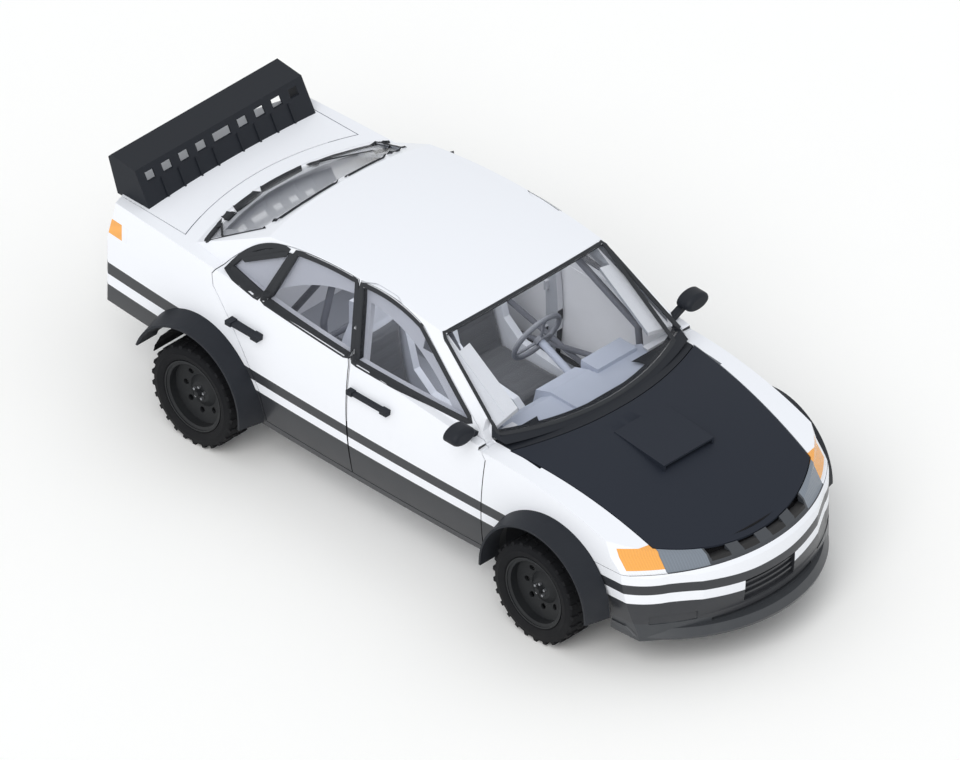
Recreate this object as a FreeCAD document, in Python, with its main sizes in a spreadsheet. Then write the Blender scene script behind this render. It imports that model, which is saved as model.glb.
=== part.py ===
import FreeCAD, Part
import math
import os

V = FreeCAD.Vector

# Driving dimensions, millimetres and degrees.  X runs forwards, Y to the left, Z up,
# and the origin lies on the ground at the middle of the car's length and width.
SIZES = [
    ("wheelbase", 2620),
    ("front_overhang", 1000),
    ("rear_overhang", 970),
    ("half_width", 845),
    ("side_bow", 30000),
    ("sill_height", 285),
    ("roof_height", 1500),
    ("door_wall", 65),
    ("panel_wall", 30),
    ("bumper_wall", 45),
    ("recess_depth", 26),
    ("panel_gap", 6),
    ("glass_thickness", 6),
    ("glass_depth", 6),
    ("glass_clearance", 0.3),
    ("seat_clearance", 0.3),
    ("tyre_radius", 308),
    ("tyre_width", 200),
    ("lug_height", 9),
    ("lug_count", 24),
    ("wheel_track", 1632),
    ("rim_radius", 213),
    ("rim_width", 170),
    ("hub_radius", 62),
    ("arch_radius", 398),
    ("flare_width", 951),
    ("cage_tube", 40),
    ("floor_thickness", 18),
    ("tunnel_height", 200),
    ("tunnel_width", 260),
    ("scoop_width", 384),
    ("wing_half_width", 640),
    ("wing_height", 1345),
    ("wing_plate", 14),
    ("strake_pitch", 131),
    ("strake_count", 8),
    ("steering_wheel_radius", 175),
    ("steering_grip", 15),
    ("column_tilt", 24),
    ("driver_offset", 345),
]

doc = FreeCAD.newDocument("RallyCar")
sheet = doc.addObject("Spreadsheet::Sheet", "Sizes")
for row, (alias, number) in enumerate(SIZES, 1):
    sheet.set(f"A{row}", alias)
    sheet.set(f"B{row}", str(number))
    sheet.setAlias(f"B{row}", alias)
doc.recompute()


def size(alias):
    return float(getattr(sheet, alias))


# Places along the car.
HALF_LENGTH = (size("wheelbase") + size("front_overhang") + size("rear_overhang")) / 2
FRONT_AXLE = HALF_LENGTH - size("front_overhang")
REAR_AXLE = FRONT_AXLE - size("wheelbase")
MIDDLE = (FRONT_AXLE + REAR_AXLE) / 2
AXLE_HEIGHT = size("tyre_radius")
HALF_WIDTH = size("half_width")
SILL = size("sill_height")
ROOF = size("roof_height")
GAP = size("panel_gap")
FAR = 3000

# Every height above the sill follows the body, which is drawn for this roof height.
BELT = ROOF - 476
BUMPER_TOP = ROOF - 846
REAR_BUMPER_TOP = ROOF - 750
NOSE_AXIS = FRONT_AXLE - 170
TAIL_AXIS = REAR_AXLE + 1530
WHEEL_Y = size("wheel_track") / 2


def cabin(x):
    """Place along the cabin, measured forwards from the middle of the wheelbase."""
    return MIDDLE + x


# ---------------------------------------------------------------- outlines and prisms

def across(x, z):
    return V(x, 0, z)


def flat(x, y):
    return V(x, y, 0)


def upright(y, z):
    return V(0, y, z)


def outline(plane, items):
    """Closed wire: a pair of values is a line's end, four values an arc's middle and end."""
    edges = []
    start = plane(*items[0])
    here = start
    for item in items[1:]:
        there = plane(*item[-2:])
        if len(item) == 4:
            edges.append(Part.Arc(here, plane(*item[:2]), there).toShape())
        else:
            edges.append(Part.LineSegment(here, there).toShape())
        here = there
    if here.distanceToPoint(start) > 0.001:
        edges.append(Part.LineSegment(here, start).toShape())
    return Part.Wire(edges)


def prism(plane, items, low, high):
    """The outline pushed from low to high along its plane's normal."""
    normal = plane(1, 0).cross(plane(0, 1))
    if plane is across:
        normal = V(0, 1, 0)
    shape = Part.Face(outline(plane, items)).extrude(normal * (high - low))
    shape.translate(normal * low)
    return outward(shape)


def outward(shape):
    """The solid with its faces turned outwards, whichever way its outline ran."""
    return shape if shape.Volume > 0 else shape.reversed()


def swept(items, base, direction):
    """A plan outline at height base, pushed along a slanting direction."""
    shape = Part.Face(outline(flat, items)).extrude(direction)
    shape.translate(V(0, 0, base))
    return outward(shape)


def box(x1, x2, y1, y2, z1, z2):
    return Part.makeBox(x2 - x1, y2 - y1, z2 - z1, V(x1, y1, z1))


def mirrored(shape):
    return shape.mirror(V(0, 0, 0), V(0, 1, 0))


def both(shape):
    return shape.fuse(mirrored(shape))


def grown(plane, items, gap):
    """The outline's face, moved outwards by gap on every side."""
    return Part.Face(outline(plane, items).makeOffset2D(gap))


def tube(start, end, radius):
    span = end - start
    return Part.makeCylinder(radius, span.Length, start, span)


def tube_path(points, radius):
    shapes = [tube(a, b, radius) for a, b in zip(points, points[1:])]
    shapes += [Part.makeSphere(radius, p) for p in points[1:-1]]
    return shapes[0].fuse(shapes[1:])


def one_solid(shape):
    """The largest solid of a cut, without slivers."""
    solids = sorted(shape.Solids, key=lambda s: s.Volume)
    return solids[-1]


def solids_over(shape, volume):
    kept = [s for s in shape.Solids if s.Volume > volume]
    return kept[0] if len(kept) == 1 else Part.makeCompound(kept)


def add(label, shape):
    """A sub-part whose form comes from the body surfaces."""
    item = doc.addObject("Part::Feature", label)
    item.Label = label
    item.Shape = shape
    nodes.append(item)
    return item


nodes = []


# ---------------------------------------------------------------- body surfaces

def side_solid(inset):
    """Left and right body sides: one gently curved section, bowed in plan."""
    widest = HALF_WIDTH - inset
    axis = widest - size("side_bow")
    section = outline(upright, [
        (axis + 1, SILL - 200), (widest - 62, SILL - 200), (widest - 50, SILL - 20),
        (widest, ROOF - 790, widest - 70, BELT + 170), (axis + 1, BELT + 170)])
    disc = Part.Face(section).revolve(V(0, axis, 0), V(0, 0, 1), 360)
    disc.translate(V(MIDDLE, 0, 0))
    return disc


def hull(side_in, end_in, top_in, low):
    """The body below the windows, each face moved inwards by its own amount."""
    side = side_solid(side_in)
    body = box(-FAR, FAR, -1000, 1000, low, BELT + 160)
    body = body.common(side).common(mirrored(side))
    nose = nose_section(end_in).revolve(V(NOSE_AXIS, 0, 0), V(0, 0, 1), 360)
    tail = tail_section(end_in).revolve(V(TAIL_AXIS, 0, 0), V(0, 0, 1), 360)
    body = body.common(nose.fuse(box(-FAR, NOSE_AXIS, -FAR, FAR, -100, FAR)))
    body = body.common(tail.fuse(box(TAIL_AXIS, FAR, -FAR, FAR, -100, FAR)))
    body = body.common(plan_corners(side_in, end_in))
    split = FRONT_AXLE - 510
    body = body.common(front_top(top_in).fuse(box(-FAR, split, -FAR, FAR, -100, FAR)))
    body = body.common(rear_top(top_in).fuse(box(split, FAR, -FAR, FAR, -100, FAR)))
    return body


def nose_section(inset):
    """Half section of the nose from its turning axis: bumper, then the lamp band."""
    reach = HALF_LENGTH - LIP_REACH - inset - NOSE_AXIS
    points = [
        (0, -100), (reach - 12, -100), (reach - 8, SILL + 60),
        (reach + 7, SILL + 190, reach + 2, BUMPER_TOP - 25), (reach - 18, BUMPER_TOP),
        (reach - 27, BUMPER_TOP + 2), (reach - 75, BUMPER_TOP + 84),
        (reach - 137, BUMPER_TOP + 300), (reach - 137, FAR), (0, FAR)]
    face = Part.Face(outline(across, points))
    face.translate(V(NOSE_AXIS, 0, 0))
    return face


def tail_section(inset):
    """Half section of the tail from its turning axis: bumper, then the boot's back."""
    reach = HALF_LENGTH - inset + TAIL_AXIS
    points = [
        (0, -100), (-reach + 60, -100), (-reach + 20, SILL + 60),
        (-reach, SILL + 240, -reach + 4, REAR_BUMPER_TOP - 16), (-reach + 26, REAR_BUMPER_TOP - 6),
        (-reach + 90, BELT + 70), (-reach + 110, FAR), (0, FAR)]
    face = Part.Face(outline(across, points))
    face.translate(V(TAIL_AXIS, 0, 0))
    return face


def plan_corners(side_in, end_in):
    """Plan outline that rounds the four corners of the body."""
    wide = HALF_WIDTH + 5 - side_in
    front = FRONT_AXLE - end_in
    rear = REAR_AXLE + end_in
    half = [
        (rear - 1010, 0), (rear - 1010, 120), (rear - 890, wide - 230),
        (rear - 779, wide - 79, rear - 590, wide - 17),
        (MIDDLE, wide), (front + 390, wide - 16),
        (front + 602, wide - 90, front + 740, wide - 250), (front + 1070, 100), (front + 1070, 0)]
    face = Part.Face(outline(flat, half))
    shape = face.extrude(V(0, 0, FAR))
    return shape.fuse(mirrored(shape))


def crowned(radius_along, radius_across, top_x, top_z):
    """Doubly curved solid: an arc across the car turned about a far axis."""
    half = 1000
    drop = radius_across - math.sqrt(radius_across ** 2 - half ** 2)
    centre = top_z - radius_along
    section = [(-half, centre), (-half, top_z - drop), (0, top_z, half, top_z - drop), (half, centre)]
    face = Part.Face(outline(upright, section))
    face.translate(V(top_x, 0, 0))
    return face.revolve(V(top_x, 0, centre), V(0, 1, 0), 360)


def front_top(inset):
    """Bonnet and wing tops."""
    return crowned(2700, 8000, FRONT_AXLE - 410, BELT - 20 - inset)


def rear_top(inset):
    """Shoulders and boot deck."""
    return crowned(30000, 12000, REAR_AXLE - 690, BELT + 121 - inset)


def greenhouse(side_in, screen_in, roof_in, base):
    """Cabin above the belt: leaning bowed sides, bowed screens and a crowned roof."""
    tall = ROOF - base + 60
    lean = 0.397
    bow = 10000
    widest = 787 + (BELT - base) * lean - side_in * 1.08
    middle = cabin(-250)
    drop = bow - math.sqrt(bow ** 2 - 2200 ** 2)
    side = swept([
        (middle - 2200, -FAR), (middle - 2200, widest - drop),
        (middle, widest, middle + 2200, widest - drop), (middle + 2200, -FAR)],
        base, V(0, -lean * tall, tall))
    front = screen(FRONT_AXLE - 270 + (BELT - 24 - base) * 1.49 - screen_in * 1.8, 1720, 1.49, base, tall)
    rear = screen(350 - REAR_AXLE + (BELT + 96 - base) * 2.02 - screen_in * 2.2, 1560, 2.02, base, tall)
    rear = rear.mirror(V(0, 0, 0), V(1, 0, 0))
    roof = crowned(4000, 4200, cabin(-250), ROOF - roof_in)
    return side.common(mirrored(side)).common(front).common(rear).common(roof)


def screen(reach, radius, slope, base, tall):
    """Everything behind a bowed screen that leans back by slope for each unit of height."""
    half = 1200
    back = -FAR - 2000
    drop = radius - math.sqrt(radius ** 2 - half ** 2)
    return swept(
        [(back, -half), (reach - drop, -half), (reach, 0, reach - drop, half), (back, half)],
        base, V(-slope * tall, 0, tall))


def whole_body():
    """The outer surface of the body and cabin as one solid."""
    return hull(0, 0, 0, SILL - 62).fuse(greenhouse(0, 0, 0, BELT - 30))


def hollow(side_in, window_in, extra):
    """The space inside the body, open below: walls side_in thick, cabin walls window_in."""
    top = size("panel_wall") + extra
    lower = hull(side_in, size("bumper_wall") + extra, top, -50)
    upper = greenhouse(window_in, top, top, BELT - 60 + extra / 4)
    return lower.fuse(upper)


# ---------------------------------------------------------------- openings in the body

def line_up(points, place):
    """Moves an outline's lengthways values onto the car."""
    moved = []
    for point in points:
        moved.append(tuple(place(v) if i % 2 == 0 else v for i, v in enumerate(point)))
    return moved


DOOR_LOW = SILL + 42
B_POST = [(-172, DOOR_LOW), (-198, BELT + 6), (-308, ROOF - 53)]

FRONT_DOOR = line_up([
    (-170, DOOR_LOW), (-188, BELT + 6), (-291, ROOF - 53), (-20, ROOF - 52, 200, ROOF - 105),
    (800, BELT - 39), (858, BELT - 100), (822, DOOR_LOW)], cabin)
REAR_DOOR = line_up([
    B_POST[0], B_POST[1], B_POST[2], (-530, ROOF - 60, -760, ROOF - 85),
    (-1130, ROOF - 245, -1285, BELT + 56), (-1262, BELT - 8),
    (-1030, ROOF - 720, -870, ROOF - 985), (-840, DOOR_LOW)], cabin)
FRONT_PANE = line_up([
    (-165, BELT + 32), (-272, ROOF - 80), (-20, ROOF - 80, 175, ROOF - 124), (655, BELT + 22)], cabin)
REAR_PANE = line_up([
    (-226, BELT + 42), (-330, ROOF - 80), (-550, ROOF - 88, -772, ROOF - 118), (-880, BELT + 66)], cabin)
QUARTER_PANE = line_up([
    (-932, BELT + 72), (-825, ROOF - 128), (-1040, ROOF - 205, -1200, BELT + 104)], cabin)
WINDSCREEN = [
    (-690, BELT + 8), (0, BELT - 10, 690, BELT + 8), (605, ROOF - 103), (0, ROOF - 62, -605, ROOF - 103)]
REAR_SCREEN = [
    (-650, BELT + 122), (0, BELT + 128, 650, BELT + 122), (530, ROOF - 165), (0, ROOF - 108, -530, ROOF - 165)]
BONNET = [
    (FRONT_AXLE - 215, 0), (FRONT_AXLE - 262, 400, FRONT_AXLE - 372, 706),
    (FRONT_AXLE + 624, 606), (FRONT_AXLE + 782, 320, FRONT_AXLE + 836, 0)]
BOOT_LID = [
    (REAR_AXLE - 405, 0), (REAR_AXLE - 375, 340, REAR_AXLE - 290, 664),
    (REAR_AXLE - 1200, 650), (REAR_AXLE - 1200, 0)]
ROOF_PANEL = [(cabin(-1190), 0), (cabin(-1190), 530), (cabin(420), 575), (cabin(420), 0)]


def side_cut(items, gap):
    """Prism through the left body side, its outline moved outwards by gap."""
    face = grown(across, items, gap) if gap else Part.Face(outline(across, items))
    face.translate(V(0, RAIL, 0))
    return face.extrude(V(0, 500, 0))


def door_cut(items, gap):
    """A door's own prism: it stays outboard of a leaning plane, clear of the cowl and roof."""
    low = RAIL + 120 - gap
    high = RAIL - gap
    lean = [(low, -100), (low, BELT + 20), (high, ROOF - 60), (high, FAR), (FAR, FAR), (FAR, -100)]
    shoulder = box(cabin(735), FAR, 0, DOOR_SHOULDER - gap, BELT - 110, BELT + 20)
    return side_cut(items, gap).common(prism(upright, lean, -FAR, FAR)).cut(shoulder)


def plan_cut(half, gap, low, high):
    """Prism down through the body from a half outline in plan."""
    whole = half + [tuple(-v if i % 2 else v for i, v in enumerate(p)) for p in mirror_order(half)]
    face = grown(flat, whole, gap) if gap else Part.Face(outline(flat, whole))
    face.translate(V(0, 0, low))
    return face.extrude(V(0, 0, high - low))


def mirror_order(half):
    """The half outline backwards, arcs keeping their middle points."""
    ends = [p[-2:] for p in half]
    middles = [p[:2] if len(p) == 4 else None for p in half]
    back = []
    for i in range(len(half) - 1, 0, -1):
        end = ends[i - 1]
        back.append(middles[i] + end if middles[i] else end)
    return back


def screen_cut(items, gap, x1, x2):
    face = grown(upright, items, gap) if gap else Part.Face(outline(upright, items))
    face.translate(V(x1, 0, 0))
    return face.extrude(V(x2 - x1, 0, 0))


def arch_cut(extra, inner=500):
    """All four wheel arches, as cylinders from each inner wall outwards."""
    shapes = []
    for x in (FRONT_AXLE + ARCH_SHIFT, REAR_AXLE):
        for hand in (1, -1):
            shapes.append(Part.makeCylinder(
                size("arch_radius") + extra, 700, V(x, hand * inner, ARCH_HEIGHT), V(0, hand, 0)))
    return shapes[0].fuse(shapes[1:])


LIP_REACH = 70
RAIL = 585
DOOR_SHOULDER = RAIL + 168
LAMP_INNER = 374
EDGE_STEP = 16
EDGE_DEPTH = 12
SKIN_TRIM = 1
HINGE_CLEARANCE = 0.3
HINGE_LINES = (cabin(857), cabin(-170))
ARCH_SHIFT = 40
ARCH_HEIGHT = AXLE_HEIGHT + 40
FLOOR_TOP = SILL
FLOOR_LOW = SILL - size("floor_thickness")
BOOT_FLOOR = SILL + 200
BULKHEAD = FRONT_AXLE - 380
HEEL_BOARD = REAR_AXLE + 340
TUNNEL_MOUTH = size("tunnel_width") / 2 - 30
PIPE_Y = 300
STRAKE_START = 94
WING_WINDOW = 98
BEAD_DROP = 18
DISC_FACE = 22
HUB_BACK = -14
KINGPIN_Y = WHEEL_Y - 85
KINGPIN_LEAN = 0.245
STRUT_TOP = ARCH_HEIGHT + size("arch_radius") + 14


# ---------------------------------------------------------------- body panels

def make_doors(door_skin, glass_skin):
    half_gap = GAP / 2
    doors = (("front", FRONT_DOOR, (FRONT_PANE,)), ("rear", REAR_DOOR, (REAR_PANE, QUARTER_PANE)))
    for place, door, panes in doors:
        shape = door_skin.common(door_cut(door, -half_gap))
        glass = []
        for pane in panes:
            shape = shape.cut(side_cut(pane, 0))
            glass.append(glass_skin.common(side_cut(pane, -size("glass_clearance"))))
        glass = glass[0].fuse(glass[1:]) if len(glass) > 1 else glass[0]
        for hand in ("left", "right"):
            left = hand == "left"
            add(f"door_{place}_{hand}", solids_over(shape if left else mirrored(shape), 1e5))
            add(f"glass_{place}_{hand}", solids_over(glass if left else mirrored(glass), 1e3))


def take(stock, label, region, keep_out, volume=2e4):
    """Cuts one panel out of the stock and returns what is left around it."""
    add(label, solids_over(stock.common(region), volume))
    return stock.cut(keep_out)


def make_body(shell, door_inner, body_inner, frame_inner, glass_skin, arches):
    gap = GAP
    door_cuts = both(door_cut(FRONT_DOOR, gap / 2).fuse(door_cut(REAR_DOOR, gap / 2)))
    low_screen = screen_cut(REAR_SCREEN, 0, -FAR, cabin(-700))
    screens = screen_cut(WINDSCREEN, 0, cabin(200), FAR).fuse(low_screen)
    clear = -size("glass_clearance")
    panes = screen_cut(WINDSCREEN, clear, cabin(200), FAR)
    panes = panes.fuse(screen_cut(REAR_SCREEN, clear, -FAR, cabin(-700)))
    add("screens", solids_over(glass_skin.common(panes), 1e4))
    rest = shell.cut(door_cuts).cut(screens)
    add("bonnet", one_solid(make_bonnet(rest).fuse(make_scoop())))
    rest = rest.cut(plan_cut(BONNET, gap / 2, BUMPER_TOP + 10, FAR))
    rest = take(rest, "boot_lid", plan_cut(BOOT_LID, -gap / 2, REAR_BUMPER_TOP + gap, FAR),
                plan_cut(BOOT_LID, gap / 2, REAR_BUMPER_TOP, FAR))
    roof = plan_cut(ROOF_PANEL, 0, BELT + 150, FAR)
    rest = take(rest, "roof_panel", roof, roof)
    front = box(FRONT_AXLE + 100, FAR, -FAR, FAR, -FAR, BUMPER_TOP)
    bumper = rest.common(front).fuse(make_lip()).cut(arches)
    add("front_bumper", one_solid(bumper.cut(bumper_recesses())))
    rest = rest.cut(front)
    rear = box(-FAR, REAR_AXLE - 100, -FAR, FAR, -FAR, REAR_BUMPER_TOP)
    add("rear_bumper", one_solid(rest.common(rear).cut(box(-FAR, 0, -FAR, FAR, -FAR, BOOT_FLOOR))))
    rest = rest.cut(rear)
    rest = rest.cut(box(-FAR, FAR, -FAR, FAR, -FAR, SILL))
    grille = box(FRONT_AXLE + 600, FAR, 1 - LAMP_INNER, LAMP_INNER - 1, BUMPER_TOP + 1, BELT)
    grille_piece = rest.common(grille).cut(grille_windows())
    rest = rest.cut(grille)
    lamp = both(box(FRONT_AXLE + 500, FAR, LAMP_INNER, 596, BUMPER_TOP + 1, BELT))
    rest = take(rest, "head_lamps", rest_band(lamp), rest_band(lamp))
    turn = both(box(FRONT_AXLE + 470, FAR, 597, 760, BUMPER_TOP + 1, BELT))
    turn_band = rest_band(turn)
    corner = both(box(-FAR, REAR_AXLE - 640, 660, FAR, BELT - 90, BELT))
    rest = take(rest, "indicators", turn_band.fuse(corner), turn_band.fuse(corner), 1e3)
    tail = both(box(-FAR, REAR_AXLE - 800, 668, FAR, REAR_BUMPER_TOP + 24, BELT - 95))
    rest = take(rest, "tail_lamps", tail, tail)
    cowl = box(FRONT_AXLE - 520, FRONT_AXLE - 150, -700, 700, BELT - 100, BELT + 100)
    cowl_piece = rest.common(cowl)
    rest = rest.cut(cowl)
    shelf = box(REAR_AXLE - 460, REAR_AXLE - 40, -664, 664, BELT, BELT + 125)
    shelf_piece = rest.common(shelf)
    rest = rest.cut(shelf)
    right_half = box(-FAR, FAR, -FAR, 0, 0, FAR)
    wing = box(cabin(830), FAR, -FAR, FAR, 0, FAR)
    front_part = rest.common(wing)
    front_part = front_part.cut(front_edge(0))
    header = box(FRONT_AXLE + 400, FAR, -597, 597, BUMPER_TOP, FAR)
    add("grille", solids_over(front_part.common(header).fuse(grille_piece), 1e3))
    wing_right = front_part.cut(header).common(right_half)
    add("front_wings", solids_over(wing_right.fuse(mirrored(wing_right)), 2e5))
    ring = body_inner.common(both(frame_band())).cut(frame_inner)
    ring = ring.fuse(door_hinges(door_inner)).cut(arches).cut(box(-FAR, FAR, -500, 500, 0, FAR))
    sides = rest.common(front_edge(-gap)).fuse(ring).cut(cowl).cut(shelf).cut(roof)
    side_right = solids_over(sides.common(right_half), 1e5)
    add("body_side_left", mirrored(side_right))
    add("body_side_right", side_right)
    cavity = body_inner
    wall = box(BULKHEAD, BULKHEAD + 20, -900, 900, SILL, BELT - 38).common(cavity)
    mouth = box(BULKHEAD - 10, BULKHEAD + 40, -TUNNEL_MOUTH, TUNNEL_MOUTH, 0, SILL + size("tunnel_height") - 40)
    wall = wall.cut(ring).cut(arch_cut(34)).cut(mouth).cut(plan_cut(BONNET, GAP, BELT - 140, FAR))
    raised = cavity.translated(V(0, 0, SKIN_TRIM - HINGE_CLEARANCE))
    seat = both(box(BULKHEAD + 10, BULKHEAD + 66, 610, 650, BELT - 180, BELT + 20)).common(raised)
    add("bulkhead", solids_over(wall.fuse(cowl_piece).fuse(seat), 1e5))
    deck = box(REAR_AXLE - 300, REAR_AXLE + 60, -620, 620, BELT + 40, BELT + 56).common(cavity)
    rear_wall = box(REAR_AXLE + 40, REAR_AXLE + 60, -479.7, 479.7, BOOT_FLOOR + 18, BELT + 56)
    root = both(box(REAR_AXLE - 395, REAR_AXLE - 360, 120, 180, BELT + 62, BELT + 130))
    arm = both(box(REAR_AXLE - 450, REAR_AXLE - 360, 120, 180, BELT + 62, BELT + 130))
    lowered = cavity.translated(V(0, 0, -HINGE_CLEARANCE))
    shelf_piece = shelf_piece.fuse(root.common(cavity)).fuse(arm.common(lowered))
    add("parcel_shelf", solids_over(deck.fuse(rear_wall).fuse(shelf_piece).cut(ring), 1e5))
    return ring


def make_bonnet(stock):
    """The bonnet's skin, its edge stepped back below so that it swings clear of what is round it."""
    bonnet = stock.common(plan_cut(BONNET, -GAP / 2, BUMPER_TOP + 10, FAR))
    edge = plan_cut(BONNET, -GAP / 2, 0, FAR).cut(plan_cut(BONNET, -GAP / 2 - EDGE_STEP, 0, FAR))
    edge = edge.common(front_top(EDGE_DEPTH))
    return bonnet.cut(front_top(size("panel_wall") - SKIN_TRIM)).cut(edge)


def door_hinges(door_space):
    """Hinge leaves on the posts, each a running clearance inside its door's inner wall."""
    reach = door_space.translated(V(0, -HINGE_CLEARANCE, 0))
    leaves = []
    for x in HINGE_LINES:
        for low in (SILL + 180, SILL + 480):
            leaves.append(box(x - 46, x - 30, RAIL + 120, FAR, low, low + 60).common(reach))
    return both(leaves[0].fuse(leaves[1:]))


def bumper_recesses():
    """Sunken intake with its bars, the slot over the chin and the two outer panels."""
    shallow = HALF_LENGTH - LIP_REACH - NOSE_AXIS - size("recess_depth")
    core = Part.makeCylinder(shallow, FAR, V(NOSE_AXIS, 0, 0), V(0, 0, 1))
    bar_core = Part.makeCylinder(shallow + 14, FAR, V(NOSE_AXIS, 0, 0), V(0, 0, 1))
    tools = box(NOSE_AXIS, FAR, -190, 190, SILL + 75, SILL + 215).cut(core)
    for low in (SILL + 106, SILL + 141, SILL + 176):
        tools = tools.cut(box(NOSE_AXIS, FAR, -190, 190, low, low + 11).common(bar_core))
    slot = box(NOSE_AXIS, FAR, -380, 380, SILL + 9, SILL + 30).cut(core)
    panel = both(box(NOSE_AXIS, FAR, 460, 690, SILL + 45, SILL + 100)).cut(bar_core)
    return tools.fuse(slot).fuse(panel)


def grille_windows():
    """Four openings in the upper part of the band between the lamps."""
    low = BUMPER_TOP + 30
    wide = both(box(0, FAR, 45, 160, low, low + 44))
    return wide.fuse(both(box(0, FAR, 240, LAMP_INNER - 12, low, low + 44)))


def rest_band(region):
    """Part of the nose between the bumper and the bonnet's front edge."""
    plate = Part.makeCylinder(HALF_LENGTH - NOSE_AXIS + 50, FAR, V(NOSE_AXIS, 0, 0), V(0, 0, 1))
    return region.common(plate).common(box(0, FAR, -FAR, FAR, BUMPER_TOP, BUMPER_TOP + 130))


def front_edge(gap):
    """Everything behind the line where the front door meets the wing."""
    edge = [(-FAR, 0), (840 + gap, 0), (822 + gap, DOOR_LOW), (858 + gap, BELT - 100), (800 + gap, BELT - 39),
            (760 + gap, BELT), (760 + gap, FAR), (-FAR, FAR)]
    shape = Part.Face(outline(across, line_up(edge, cabin))).extrude(V(0, 4000, 0))
    shape.translate(V(0, -2000, 0))
    return shape


def frame_band():
    """Left door apertures in the inner frame: sill, three posts and roof rail."""
    band = side_cut(line_up([
        (-1480, SILL), (-1480, BELT + 130), (-760, ROOF - 42), (200, ROOF - 46), (930, BELT - 60), (930, SILL)],
        cabin), 0)
    band = band.fuse(box(cabin(-1480), cabin(930), 500, RAIL, SILL, ROOF - 46))
    for door in (FRONT_DOOR, REAR_DOOR):
        hole = grown(across, door, -42)
        hole.translate(V(0, 400, 0))
        band = band.cut(hole.extrude(V(0, 700, 0)))
    return band



def make_scoop():
    """Air scoop: a raised tray on the bonnet, open at the front."""
    rear = FRONT_AXLE - 88
    front = FRONT_AXLE + 296
    half = size("scoop_width") / 2
    base = BELT - 180
    top = BELT - 30
    body = prism(across, [(rear, base), (rear, top - 8), (front, top - 44), (front, base)], -half, half)
    skin = size("panel_wall")
    under = front_top(skin - 4).common(box(rear - 50, front + 50, -half - 50, half + 50, base - 50, top + 50))
    mouth = box(front - 120, front + 10, -half + 14, half - 14, 0, top)
    lowered = mouth.common(prism(across, [
        (rear, base), (rear, top - 20), (front + 10, top - 57), (front + 10, base)], -half, half))
    body = body.cut(under).cut(lowered)
    return body


def make_lip():
    """Chin below the front bumper, further forward than the bumper itself."""
    axis = FRONT_AXLE + 100
    reach = HALF_LENGTH - axis
    low = SILL - 55
    section = [(reach - 95, low + 4), (reach - 6, low), (reach, low + 18), (reach - 26, low + 62), (reach - 95, low + 62)]
    face = Part.Face(outline(across, section))
    face.translate(V(axis, 0, 0))
    ring = face.revolve(V(axis, 0, 0), V(0, 0, 1), 360)
    sides = side_solid(-8)
    return ring.common(box(FRONT_AXLE + 330, FAR, -FAR, FAR, 0, FAR)).common(sides).common(mirrored(sides))


def make_flares(outer):
    """Wheel-arch flares: tapering rings open below, seated on the body side."""
    flares = []
    for x, low in ((FRONT_AXLE + ARCH_SHIFT, SILL + 55), (REAR_AXLE, SILL + 25)):
        wide = size("flare_width")
        inner = size("arch_radius")
        cone = Part.makeCone(inner + 52, inner + 13, wide - HALF_WIDTH + 45, V(x, HALF_WIDTH - 45, ARCH_HEIGHT), V(0, 1, 0))
        hole = Part.makeCylinder(inner, 400, V(x, HALF_WIDTH - 100, ARCH_HEIGHT), V(0, 1, 0))
        flare = cone.cut(hole).cut(outer).cut(box(x - 900, x + 900, 0, 2000, 0, low))
        if x == REAR_AXLE:
            flare = flare.cut(box(x - 900, x, 0, 2000, 0, BOOT_FLOOR))
        flares.append(one_solid(flare))
    add("wheel_arch_flares", Part.makeCompound([s for f in flares for s in (f, mirrored(f))]))


def make_inner_arches(cavity, ring, blockers):
    tubs = []
    for x, axle, slot in ((FRONT_AXLE + ARCH_SHIFT, FRONT_AXLE, 150), (REAR_AXLE, REAR_AXLE, 70)):
        centre = V(x, 480, ARCH_HEIGHT)
        radius = size("arch_radius") + 34
        shell = Part.makeCylinder(radius, 420, centre, V(0, 1, 0))
        shell = shell.cut(Part.makeCylinder(radius - 12, 420, centre + V(0, 12, 0), V(0, 1, 0)))
        shell = shell.cut(box(x - 900, x + 900, 0, 2000, 0, SILL + 20))
        shell = shell.cut(box(axle - slot, axle + slot, 0, 520, 0, AXLE_HEIGHT + 150))
        shell = shell.cut(box(-FAR, REAR_AXLE, 0, 2000, 0, BOOT_FLOOR))
        shell = shell.common(cavity).cut(ring)
        for other in blockers:
            shell = shell.cut(other)
        tub = one_solid(shell)
        tubs += [tub, mirrored(tub)]
    add("inner_arches", Part.makeCompound(tubs))


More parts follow.
